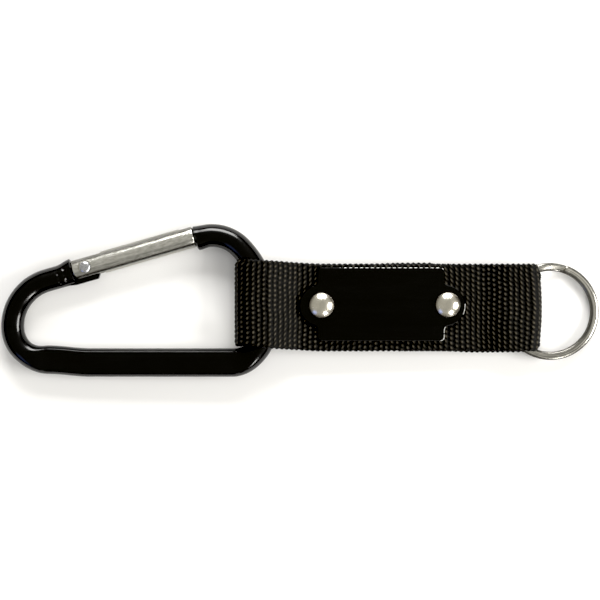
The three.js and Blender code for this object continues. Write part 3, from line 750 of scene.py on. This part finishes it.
def soft_limit(z, limit):
    """z held within plus and minus limit, with a slightly rounded shoulder."""
    over = np.abs(z) - limit
    held = limit + 0.5 * (over - np.sqrt(over * over + SHOULDER_SOFTNESS ** 2))
    return np.sign(z) * np.maximum(held, 0)


def carabiner_bar():
    """The round bar along its route, pressed flat along the spine and spread at both ends."""
    spans = bar_spans()
    s, centre, heading = along(spans, BAR_STEP)
    inward = np.stack([-heading[:, 1], heading[:, 0]], 1)
    spine_start = sum(span[0] for span in spans[:4])
    spine_end = spine_start + spans[4][0]
    total = s[-1]
    flat = plateau(s, spine_start, spine_end, SPINE_PRESS_RUN)
    step = plateau(s, spine_start, spine_start, SPINE_STEP_RUN)
    hinge_end = 1 - smoothstep(s, 0, END_PRESS_RUN)
    nose_end = smoothstep(s, total - END_PRESS_RUN, total)
    ends = hinge_end + nose_end
    half_width = (BAR_RADIUS + (SPINE_HALF_WIDTH - BAR_RADIUS) * flat) * (1 - ends)
    half_width += HINGE_HALF_WIDTH * hinge_end + NOSE_HALF_WIDTH * nose_end
    half_thick = (BAR_RADIUS + (SPINE_HALF_THICKNESS - BAR_RADIUS) * flat) * (1 - ends)
    half_thick += END_HALF_THICKNESS * ends
    to_end = np.minimum(np.minimum(s, total - s), END_ROUNDING)
    inset = END_ROUNDING - np.sqrt(END_ROUNDING ** 2 - (END_ROUNDING - to_end) ** 2)
    angle = 2 * np.pi * np.arange(BAR_SIDES) / BAR_SIDES
    across = np.outer(half_width - inset, np.cos(angle))
    across += (hinge_end * HINGE_SPREAD + nose_end * NOSE_SPREAD + step * SPINE_STEP)[:, None]
    round_z = np.outer(BAR_RADIUS - inset, np.sin(angle))
    limit = (half_thick - inset)[:, None]
    unpressed = half_thick[:, None] > BAR_RADIUS - 0.01
    z = np.where(unpressed, round_z, soft_limit(round_z, limit))
    for mark_s, mark_y in PRESS_MARKS:
        near = np.exp(-((s[:, None] - mark_s) ** 2 + (across - mark_y) ** 2) / MARK_RADIUS ** 2)
        z -= MARK_DEPTH * near * (z > 0)
    lean = math.atan2(*heading[-1][::-1]) - (GATE_ANGLE + math.pi)
    shear = np.tan(lean) * smoothstep(s, total - NOSE_SQUARE_RUN, total)
    flatwise = centre[:, None] + across[..., None] * inward[:, None] + (
        (across * shear[:, None])[..., None] * heading[:, None])
    sections = np.concatenate([flatwise, z[..., None]], -1)
    bar = tube("carabiner_bar", sections, CARABINER, 32)
    dress(bar, "carabiner", "black_finish", BLACK_FINISH, "carabiner_body")


def cam_point(degrees):
    """Where the cam's edge touches the pusher's flat nose when the gate stands open by that much."""
    a = math.radians(degrees)
    reach = CAM_REACH + CAM_RATE * a
    return (reach * math.cos(a) - CAM_RATE * math.sin(a), -reach * math.sin(a) - CAM_RATE * math.cos(a))


def tongues():
    """The bar's thin ends inside the gate's slots: a cam at the hinge, and a stop at the nose."""
    heel_y = cam_point(GATE_OPEN)[1]
    root = BODY_START - TONGUE_ROOT
    quarter = [(CAM_REACH * math.cos(a), -CAM_RATE + (TONGUE_TOP + CAM_RATE) * math.sin(a))
               for a in np.linspace(0, math.pi / 2, 14)]
    outline = [(root, heel_y + HEEL_TAPER), (BODY_START, heel_y)]
    outline += [cam_point(d) for d in np.linspace(GATE_OPEN, 0, 14)[:-1]] + quarter + [(root, TONGUE_TOP)]
    hinge_tongue = slab("hinge_tongue", outline, -TONGUE_HALF, TONGUE_HALF, TONGUE_BEVEL, GATE)
    dress(hinge_tongue, "carabiner", "black_finish", BLACK_FINISH)
    low, tip, corner = NOSE_SLOT_FLOOR + END_GAP, NOSE_SLOT_START + END_GAP, NOSE_TONGUE_CORNER
    root = BODY_END + TONGUE_ROOT
    outline = [(root, low), (root, TONGUE_TOP - TONGUE_TAPER)]
    outline += arc(tip + corner, TONGUE_TOP - corner, corner, math.pi / 2, math.pi, 9) + [(tip, low)]
    nose_tongue = slab("nose_tongue", outline, -TONGUE_HALF, TONGUE_HALF, TONGUE_BEVEL, GATE)
    dress(nose_tongue, "carabiner", "black_finish", BLACK_FINISH)


# ---- the gate

ALONG_X = Matrix.Rotation(math.pi / 2, 4, "Y")


def gate():
    """The drawn rod, with a slot at each end, the bore for its spring and the rivet's seats."""
    r, b, far = GATE_RADIUS, GATE_BEVEL, CUTTER_REACH
    bevel = [(b * (1 - math.cos(a)), b * (1 - math.sin(a))) for a in np.linspace(0, math.pi / 2, 6)]
    tail = [(r - out, GATE_TAIL + inn) for inn, out in bevel]
    tip = [(r - out, GATE_TIP - inn) for inn, out in bevel][::-1]
    middle = [(r, z) for z in np.linspace(GATE_TAIL + 2, GATE_TIP - 2, 14)]  # keeps the facets short
    rod = turned("gate_rod", tail + middle + tip, Matrix.Identity(4), 128)
    rod.data.transform(ALONG_X)
    heel = cut(block(GATE_TAIL - 1, 0, -far, 0.01, -far, far), [round_cutter(-GATE_TAIL, -far - 1, far + 1)])
    bore = round_cutter(BORE_RADIUS, HINGE_SLOT_END - 1, BORE_END)
    bore.data.transform(ALONG_X)
    cut(rod, [
        heel,
        block(GATE_TAIL - 1, HINGE_SLOT_END, -far, far, -SLOT_HALF, SLOT_HALF),
        block(NOSE_SLOT_START, GATE_TIP + 1, NOSE_SLOT_FLOOR, far, -SLOT_HALF, SLOT_HALF),
        bore,
        round_cutter(RIVET_HOLE_RADIUS, -far, far),
        round_cutter(RIVET_SEAT_RADIUS, RIVET_SEAT_Z, far),
        round_cutter(RIVET_SEAT_RADIUS, -far, -RIVET_SEAT_Z),
    ])
    rod.matrix_world = GATE
    dress(rod, "gate", "bright_aluminium", ALUMINIUM, "gate")


def gate_rivet():
    """A pin with the same low head on both sides of the gate."""
    head = [(RIVET_PIN_RADIUS, RIVET_HEAD_BASE)]
    head += dome(RIVET_HEAD_RADIUS, RIVET_HEAD_BASE, RIVET_HEAD_RISE, RIVET_HEAD_FLAT, 12)
    foot = [(r, -z) for r, z in head][::-1]
    rivet = turned("gate_rivet_visual", foot + head, GATE, 64)
    dress(rivet, "carabiner", "steel", STEEL, "gate_rivet")


def pusher_and_spring():
    """What opening the gate pushes back in its bore: a stepped pin, and the coil behind its flange."""
    c, nose, flange_end = PUSHER_CHAMFER, CAM_REACH + PUSHER_GAP, PUSHER_FLANGE + PUSHER_FLANGE_THICKNESS
    profile = [(PUSHER_NOSE_RADIUS - c, nose), (PUSHER_NOSE_RADIUS, nose + c)]
    profile += [(PUSHER_NOSE_RADIUS, PUSHER_FLANGE), (PUSHER_FLANGE_RADIUS - c, PUSHER_FLANGE)]
    profile += [(PUSHER_FLANGE_RADIUS, PUSHER_FLANGE + c), (PUSHER_FLANGE_RADIUS, flange_end)]
    profile += [(PUSHER_STEM_RADIUS, flange_end), (PUSHER_STEM_RADIUS, PUSHER_STEM_END - c)]
    profile += [(PUSHER_STEM_RADIUS - c, PUSHER_STEM_END)]
    along_bore = Matrix(((0, 0, 1, 0), (1, 0, 0, 0), (0, 1, 0, 0), (0, 0, 0, 1)))
    pin = turned("gate_pusher_pin", profile, GATE @ along_bore)
    dress(pin, "pusher", "steel", STEEL, "gate_plunger")

    start = flange_end + SPRING_WIRE_RADIUS + LAYER_GAP
    end = BORE_END - SPRING_WIRE_RADIUS - LAYER_GAP
    angle = np.linspace(0, 2 * np.pi * SPRING_TURNS, 36 * SPRING_TURNS + 1)
    outward = np.stack([0 * angle, np.cos(angle), np.sin(angle)], 1)
    centre = SPRING_RADIUS * outward
    centre[:, 0] = np.linspace(start, end, len(angle))
    onward = np.gradient(centre, axis=0)
    onward /= np.linalg.norm(onward, axis=1)[:, None]
    aside = np.cross(onward, outward)
    around = 2 * np.pi * np.arange(12)[None, :, None] / 12
    wire = np.cos(around) * outward[:, None] + np.sin(around) * aside[:, None]
    coil = tube("gate_coil", centre[:, None] + SPRING_WIRE_RADIUS * wire, GATE)
    dress(coil, "gate", "steel", STEEL, "gate_spring")
    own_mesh(coil)


# ---- webbing


def eased(x0, z0, x1, z1):
    """From one height to another, flat at both ends."""
    t = np.linspace(0, 1, 24)
    return [(x0 + (x1 - x0) * a, z0 + (z1 - z0) * a * a * (3 - 2 * a)) for a in t]


def draped(x, z, side):
    """From flat at a point up to the bar, taut: a short bend, then a straight run to the loop's round."""
    radius = BAR_LOOP_HALF - WEB_THICKNESS / 2
    reach = np.hypot(x - BAR_RIGHT_X, z)
    lift = math.asin(radius / reach) - math.atan2(z, x - BAR_RIGHT_X)
    rise = DRAPE_BEND * math.tan(lift)
    points = [(x + DRAPE_BEND * (1 - 2 * t), z + rise * t * t) for t in np.linspace(0, 1, 8)]
    around = np.linspace(math.pi / 2 - lift, math.pi / 2, 12)
    points += [(BAR_RIGHT_X + radius * math.cos(a), radius * math.sin(a)) for a in around]
    return [(px, side * pz) for px, pz in points]


def folded(x, half_height, depth, side):
    """Half an ellipse from straight above (x, 0) to straight below it, bulging to that side."""
    angles = np.linspace(0, np.pi, 40)
    return [(x + side * depth * math.sin(a), half_height * math.cos(a)) for a in angles]


def resampled(points, step):
    """The same line in even steps, with the distance of each point along it."""
    points = np.array(points, float)
    gaps = np.linalg.norm(np.diff(points, axis=0), axis=1)
    points = points[np.r_[True, gaps > 1e-6]]
    run = np.r_[0, np.cumsum(np.linalg.norm(np.diff(points, axis=0), axis=1))]
    u = np.linspace(0, run[-1], round(run[-1] / step) + 1)
    return u, np.stack([np.interp(u, run, points[:, 0]), np.interp(u, run, points[:, 1])], 1)


def skew(x):
    """How far the webbing has run off sideways where its loop goes round the slanting bar."""
    run = np.maximum(0, SKEW_FROM - x)
    return SKEW_SLOPE * run * run / (run + SKEW_EASE)


def weave(u, v, face):
    """The ribbed weave at u along and v across: its height, and its painted highlight, bright on the crests
    and dark in the grooves, both from 0 to 1.
    """
    rib = u / RIB_PITCH + sum(a * np.sin(b * u + c * v + d * face) for a, b, c, d in RIB_WANDER)
    index = np.floor(rib)
    across = rib - index - 0.5
    crest = np.maximum(0, 1 - (across / 0.5) ** 2)
    lean = BEAD_SLANT * (1 - SLANT_VARIETY + SLANT_VARIETY * np.sin(0.5 * index + 0.2 * v)) * across
    phase = v / BEAD_PITCH + BEAD_STAGGER * np.mod(index + face, 2) + lean + BEAD_JITTER * np.sin(1.7 * index)
    bead = np.cos(np.pi * phase) ** 2
    height = crest ** 0.4 * (BEAD_SADDLE + (1 - BEAD_SADDLE) * bead ** 0.7)
    return height, crest ** 1.7 * (0.3 + 0.7 * bead ** 0.6)


def strip(name, profile, sideways, clear):
    """Woven webbing along a profile of (x, z) points in the strap's frame: one closed, ribbed mesh."""
    u, line = resampled(profile, WEAVE_STEP)
    tangent = np.gradient(line, axis=0)
    tangent /= np.linalg.norm(tangent, axis=1)[:, None]
    normal = np.stack([-tangent[:, 1], tangent[:, 0]], 1)
    v = np.linspace(-0.5, 0.5, WEAVE_COLUMNS) * WEB_WIDTH
    edge = np.clip((np.abs(v) - WEB_WIDTH / 2) / SELVEDGE + 1, 0, 1)
    fullness = np.sqrt(1 - SELVEDGE_THINNING * edge ** 2)
    toothed = np.sign(v) * SELVEDGE_TEETH * edge * np.cos(2 * np.pi * u[:, None] / RIB_PITCH)
    faces = []
    for side in (1, -1):
        height, dust_and_crest_glint = weave(u[:, None], v[None, :], (side + 1) // 2)
        half = (WEB_CORE_HALF + RIB_RELIEF * height) * fullness
        offset = side * half
        points = np.empty((len(u), len(v), 3))
        points[..., ::2] = line[:, None] + normal[:, None] * offset[..., None]
        points[..., 1] = WEB_CENTRE_Y + v + toothed + sideways(u, line[:, 0])[:, None]
        points[..., 0] += fold_shift(points[..., 0], v)
        faces.append((points, dust_and_crest_glint * fullness))
    (top, top_crest_glint), (bottom, bottom_crest_glint) = faces
    sections = np.concatenate([top, bottom[:, ::-1]], 1)
    piece = tube(name, clear(sections), Matrix.Identity(4))
    dust_and_crest_glint = np.concatenate([top_crest_glint, bottom_crest_glint[:, ::-1]], 1)
    attribute = piece.data.attributes.new("weave_crest_glint", "FLOAT", "POINT")
    attribute.data.foreach_set("value", dust_and_crest_glint.ravel().astype(np.float32))
    across = np.concatenate([v, v[::-1]])
    place = np.stack(np.broadcast_arrays(u[:, None], across[None, :], 0.0), -1)
    attribute = piece.data.attributes.new("weave_place", "FLOAT_VECTOR", "POINT")
    attribute.data.foreach_set("vector", place.ravel().astype(np.float32))
    piece.matrix_world = STRAP
    return piece, u[-1] * MM


def fold_shift(x, v):
    """The folds are not quite straight: the left one's upper corner hangs back, and the right one bulges."""
    edge = WEB_WIDTH / 2
    left_fade, right_fade = FOLD_FADES
    left = FOLD_HANG * smoothstep(v, edge - 1.9, edge) * (1 - smoothstep(x, *left_fade))
    right = (FOLD_BULGE - FOLD_TUCK * (v / edge) ** 2) * smoothstep(x, *right_fade)
    return left + right


def in_frame(points, source, target):
    """Points in mm in one local frame, as points in mm in another."""
    change = np.array(target.inverted() @ source)
    return points @ change[:3, :3].T + change[:3, 3] / MM


def clear_of_bar(points):
    """Pushes the webbing off the bar where the bar's shoulder crosses the fold."""
    _, centre, _ = along(bar_spans(), 1.0)
    local = in_frame(points, STRAP, CARABINER)
    flat = local.reshape(-1, 3)
    near = np.where((flat[:, 0] < BAR_RIGHT_X + 4.2) & (np.abs(flat[:, 2]) < 6))[0]
    gaps = flat[near, None] - np.pad(centre, ((0, 0), (0, 1)))
    lengths = np.linalg.norm(gaps, axis=2)
    away, length = gaps[np.arange(len(near)), lengths.argmin(1)], lengths.min(1)
    wanted = BAR_RADIUS + BAR_CLEARANCE
    inside = length < wanted
    flat[near[inside]] += away[inside] * ((wanted - length[inside]) / length[inside])[:, None]
    return in_frame(flat.reshape(points.shape), CARABINER, STRAP)


def clear_of_ring(points):
    """Bunches the fold's corners inward where the ring, narrower than the webbing, leaves it."""
    local = in_frame(points, STRAP, RING)
    radius = np.hypot(local[..., 0], local[..., 1])
    inside, outside, above = RING_CLEARANCE
    start, outer = RING_OUTER_RADIUS - WIRE_WIDTH - inside - BUNCH_DEPTH, RING_OUTER_RADIUS + outside
    level = (TURN_PITCH + WIRE_HEIGHT) / 2 + above
    share = 1 - smoothstep(np.abs(local[..., 2]), level, level + BUNCH_FADE)
    share *= (radius > start) & (radius < outer) & (local[..., 0] > BUNCH_FROM)
    squeezed = start + (radius - start) * BUNCH_DEPTH / (outer - start)
    scale = 1 + share * (squeezed / np.maximum(radius, 1e-6) - 1)
    local[..., :2] *= scale[..., None]
    return in_frame(local, RING, STRAP)


def webbing_pieces():
    """The two halves: round the bar and back to the lapped end, and through the ring and back to the lap."""
    layer = WEB_THICKNESS / 2
    half = BAR_LOOP_HALF - layer
    profile = [(HALVES_MEET, layer)]
    profile += draped(BAR_LOOP_CLOSED_TOP, layer, 1)
    profile += folded(BAR_LOOP_FULL_FROM, half, BAR_LOOP_FULL_FROM - BAR_LOOP_LEFT - layer, -1)
    profile += draped(BAR_LOOP_CLOSED_BOTTOM, layer, -1)[::-1]
    profile += eased(LAP_START - LAP_RISE_RUN, -layer, LAP_START, -3 * layer)
    profile += [(LAP_END, -3 * layer)]

    drift_from, drift_to = LAP_SHIFT_RUN

    def sideways(u, x):
        return skew(x) + LAP_SHIFT * smoothstep(u, u[-1] - drift_from, u[-1] - drift_to)

    carabiner_half, length = strip("webbing_carabiner_half", profile, sideways, clear_of_bar)
    dress(carabiner_half, None, "webbing", WEBBING, "webbing_strap")
    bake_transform(carabiner_half)

    half = RING_LOOP_HALF - layer
    profile = [(HALVES_MEET, layer)]
    profile += eased(RING_RISE_FROM, layer, RING_RISE_TO, half)
    profile += folded(RING_LOOP_RIGHT - RING_LOOP_HALF, half, half, 1)
    profile += eased(RING_RISE_TO, -half, RING_RISE_FROM, -layer)
    profile += [(LAP_START, -layer)]

    def lower_shift(u, x):
        fold = u[np.argmax(x)]
        return -LOWER_SHIFT * smoothstep(u, fold - 3, fold + 8) * smoothstep(x, 40, 50)

    ring_half, length = strip("webbing_ring_half", profile, lower_shift, clear_of_ring)
    dress(ring_half, None, "webbing", WEBBING, "webbing_ring_loop")
    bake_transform(ring_half)


# ---- plate and rivets


def ear(panel_x, tip_x, direction):
    """One ear: a round end that meets the panel's side in two hollow fillets."""
    centre_x = tip_x - direction * EAR_RADIUS
    fillet_x = panel_x + direction * EAR_FILLET
    run = direction * (fillet_x - centre_x)
    rise = math.sqrt((EAR_RADIUS + EAR_FILLET) ** 2 - run ** 2)
    lean = math.atan2(rise, run)
    out = 0 if direction > 0 else math.pi
    turn = out + math.pi
    return (arc(fillet_x, EAR_Y - direction * rise, EAR_FILLET, turn, turn - lean, 10)
            + arc(centre_x, EAR_Y, EAR_RADIUS, out - lean, out + lean, 48)[1:-1]
            + arc(fillet_x, EAR_Y + direction * rise, EAR_FILLET, out + lean - math.pi, out - math.pi, 10))


def cover_plate():
    """The lacquered plate, with a painted highlight on its rim along the top and round the lower right corner
    and ear.
    """
    c, quarter = PLATE_CORNER, math.pi / 2
    outline = arc(PLATE_LEFT + c, PLATE_BOTTOM + c, c, -2 * quarter, -quarter, 8)
    outline += arc(PLATE_RIGHT - c, PLATE_BOTTOM + c, c, -quarter, 0, 8)
    outline += ear(PLATE_RIGHT, EAR_RIGHT, 1)
    outline += arc(PLATE_RIGHT - c, PLATE_TOP - c, c, 0, quarter, 8)
    outline += arc(PLATE_LEFT + c, PLATE_TOP - c, c, quarter, 2 * quarter, 8)
    outline += ear(PLATE_LEFT, EAR_LEFT, -1)
    base = WEB_THICKNESS + LAYER_GAP
    holes = [(x, y, POST_HOLE_RADIUS) for x, y in STRAP_RIVETS.values()]
    plate = slab("plate", outline, base, base + PLATE_THICKNESS, PLATE_BEVEL, STRAP, holes)
    dress(plate, "strap", "black_lacquer", LACQUER, "cover_plate")
    plate.data.materials.append(DASHED_PAINTED_HIGHLIGHT)
    plate.data.materials.append(PAINTED_HIGHLIGHT_EDGE)
    for polygon in plate.data.polygons:
        x, y, _ = polygon.center / MM
        on_rim = 0.1 < polygon.normal.z < 0.95
        along_top = y > PLATE_TOP - 0.5 and x > PLATE_LEFT + 2 * PLATE_CORNER
        ear_tip = x > EAR_RIGHT - 1 and -4 < y < -1
        lower_corner = x > PLATE_RIGHT - 6 and y < PLATE_BOTTOM + 4
        # where the rim gets its painted highlights: in dashes along the top, plain at the ear's tip and lower
        # right corner
        if on_rim and along_top:
            polygon.material_index = 1
        elif on_rim and (ear_tip or lower_corner):
            polygon.material_index = 2


def round_cap(radius, base, rise):
    """Points (radius, z) of a shallow ball cap from its edge to just short of its top."""
    ball = (radius ** 2 + rise ** 2) / (2 * rise)
    across = radius * np.cos(np.linspace(0, np.pi / 2 - 0.02, 24))
    return [(r, base + rise - ball + math.sqrt(ball ** 2 - r ** 2)) for r in across]


def rivet_caps():
    """For each strap rivet, the front cap with its post and the back cap that the post ends in."""
    front_base = WEB_THICKNESS + PLATE_THICKNESS + 2 * LAYER_GAP
    front = [(POST_RADIUS, -WEB_THICKNESS), (POST_RADIUS, front_base)]
    front += [(CAP_RADIUS - CAP_UNDERCUT, front_base)]
    front += round_cap(CAP_RADIUS, front_base + CAP_EDGE, CAP_RISE - CAP_EDGE)
    back_base = WEB_THICKNESS + LAYER_GAP
    back = dome(CAP_RADIUS, back_base + BACK_CAP_EDGE, BACK_CAP_RISE - BACK_CAP_EDGE, BACK_CAP_FLAT, 16)
    back = [(r, -z) for r, z in back[::-1]] + [(CAP_RADIUS - BACK_CAP_UNDERCUT, -back_base)]
    for side, (x, y) in STRAP_RIVETS.items():
        spot = STRAP @ Matrix.Translation(Vector((x, y, 0)) * MM)
        for face, profile in (("front", front), ("back", back)):
            cap = turned(f"cap_{face}_{side}", profile, spot)
            dress(cap, "strap", "nickel", NICKEL, f"rivet_{face}_{side}")


# ---- split ring


def split_ring():
    """Two turns of flat wire that step over each other once, with a gap at each end of the wire."""
    clear = RING_CROSSING + RING_END_GAP
    degrees = np.linspace(clear, 720 - clear, RING_STATIONS)
    turn = np.radians(degrees + RING_TURN)
    level = TURN_PITCH * (smoothstep(degrees, 360 - RING_CROSSING, 360 + RING_CROSSING) - 0.5)
    mid = RING_OUTER_RADIUS - WIRE_WIDTH / 2
    around = np.linspace(0, 2 * np.pi, WIRE_SIDES, endpoint=False)
    cosine, sine = np.cos(around), np.sin(around)
    radial = WIRE_WIDTH / 2 * np.sign(cosine) * np.abs(cosine) ** WIRE_FULLNESS
    rise = WIRE_HEIGHT / 2 * np.sign(sine) * np.abs(sine) ** WIRE_FULLNESS
    to_end = np.minimum(degrees - clear, 720 - clear - degrees)
    taper = 1 - RING_END_TAPER * (1 - smoothstep(to_end, 0, RING_TAPER_RUN))
    radius = mid + np.outer(taper, radial)
    sections = np.stack([radius * np.cos(turn)[:, None], radius * np.sin(turn)[:, None],
                         level[:, None] + np.outer(taper, rise)], -1)
    ring = tube("split_ring_visual", sections, RING, 50)
    dress(ring, "ring", "nickel", nickel("ring_nickel", (0.97, 0.945, 0.87), True), "split_ring")


# ---- stage, lights and camera


def floor():
    row = FLOOR_TILES + 1
    step = np.linspace(-FLOOR_HALF, FLOOR_HALF, row)
    points = [(x, y, 0) for y in step for x in step]
    starts = [i + row * j for j in range(FLOOR_TILES) for i in range(FLOOR_TILES)]
    faces = [(a, a + 1, a + row + 1, a + row) for a in starts]
    mesh = bpy.data.meshes.new("floor")
    mesh.from_pydata(points, [], faces)
    made = placed("floor", mesh, Matrix.Identity(4))
    mesh.materials.append(pale_floor())


def softbox(name, azimuth, tilt, distance, width, height, power, colour=(1, 1, 1), mirrored=True):
    """An area light aimed at the origin: azimuth from +X towards +Y, tilt down from straight overhead.
    One that isn't mirrored lights the scene but doesn't show in the metal."""
    light = bpy.data.lights.new(name, "AREA")
    light.shape = "RECTANGLE"
    light.size, light.size_y = width, height
    light.energy = power
    light.color = colour
    made = added(name, light)
    a, t = math.radians(azimuth), math.radians(tilt)
    toward = Vector((math.cos(a) * math.sin(t), math.sin(a) * math.sin(t), math.cos(t)))
    made.location = toward * distance
    made.rotation_mode = "QUATERNION"
    made.rotation_quaternion = toward.to_track_quat("Z", "Y")
    made.visible_glossy = mirrored


def room_light():
    """A room that is dark near the horizon and pale grey overhead."""
    world = bpy.data.worlds.new("studio")
    world.use_nodes = True
    nodes, link = world.node_tree.nodes, world.node_tree.links.new
    direction = nodes.new("ShaderNodeTexCoord")
    split = nodes.new("ShaderNodeSeparateXYZ")
    room = nodes.new("ShaderNodeValToRGB")
    for element, (height, colour) in zip(room.color_ramp.elements, (HORIZON, OVERHEAD)):
        element.position = height
        element.color = (*colour, 1)
    link(direction.outputs["Generated"], split.inputs["Vector"])
    link(split.outputs["Z"], room.inputs["Fac"])
    link(room.outputs["Color"], nodes["Background"].inputs["Color"])
    bpy.context.scene.world = world


def lights():
    softbox("top", 86, 61, 0.9, 0.64, 0.36, 10.0, (1, 0.99, 0.97))
    softbox("right", -6, 59, 0.9, 0.46, 0.30, 6.4, (1, 0.985, 0.95))
    softbox("low_right", -60, 60, 0.9, 0.20, 0.22, 2.4, (1, 0.985, 0.95))
    softbox("low_left", -132, 66, 1.0, 0.35, 0.35, 0.35, (0.3, 0.42, 1))
    softbox("overhead", 0, 0, 1.2, 1.0, 1.0, 2.6, mirrored=False)


def camera():
    data = bpy.data.cameras.new("camera")
    data.sensor_width = SENSOR
    data.lens = SENSOR * (CAMERA_HEIGHT - VIEW_LEVEL) / VIEW_WIDTH
    made = added("camera", data)
    made.location = Vector((CAMERA_X, CAMERA_Y, CAMERA_HEIGHT)) * MM
    bpy.context.scene.camera = made
    view = bpy.context.scene.view_settings
    view.view_transform = "Standard"
    view.use_curve_mapping = True
    view.curve_mapping.black_level = (BLACK_LEVEL,) * 3
    view.curve_mapping.update()


# ---- the whole scene

camera()
room_light()
lights()
floor()
carabiner_bar()
tongues()
gate()
gate_rivet()
pusher_and_spring()
webbing_pieces()
cover_plate()
rivet_caps()
split_ring()
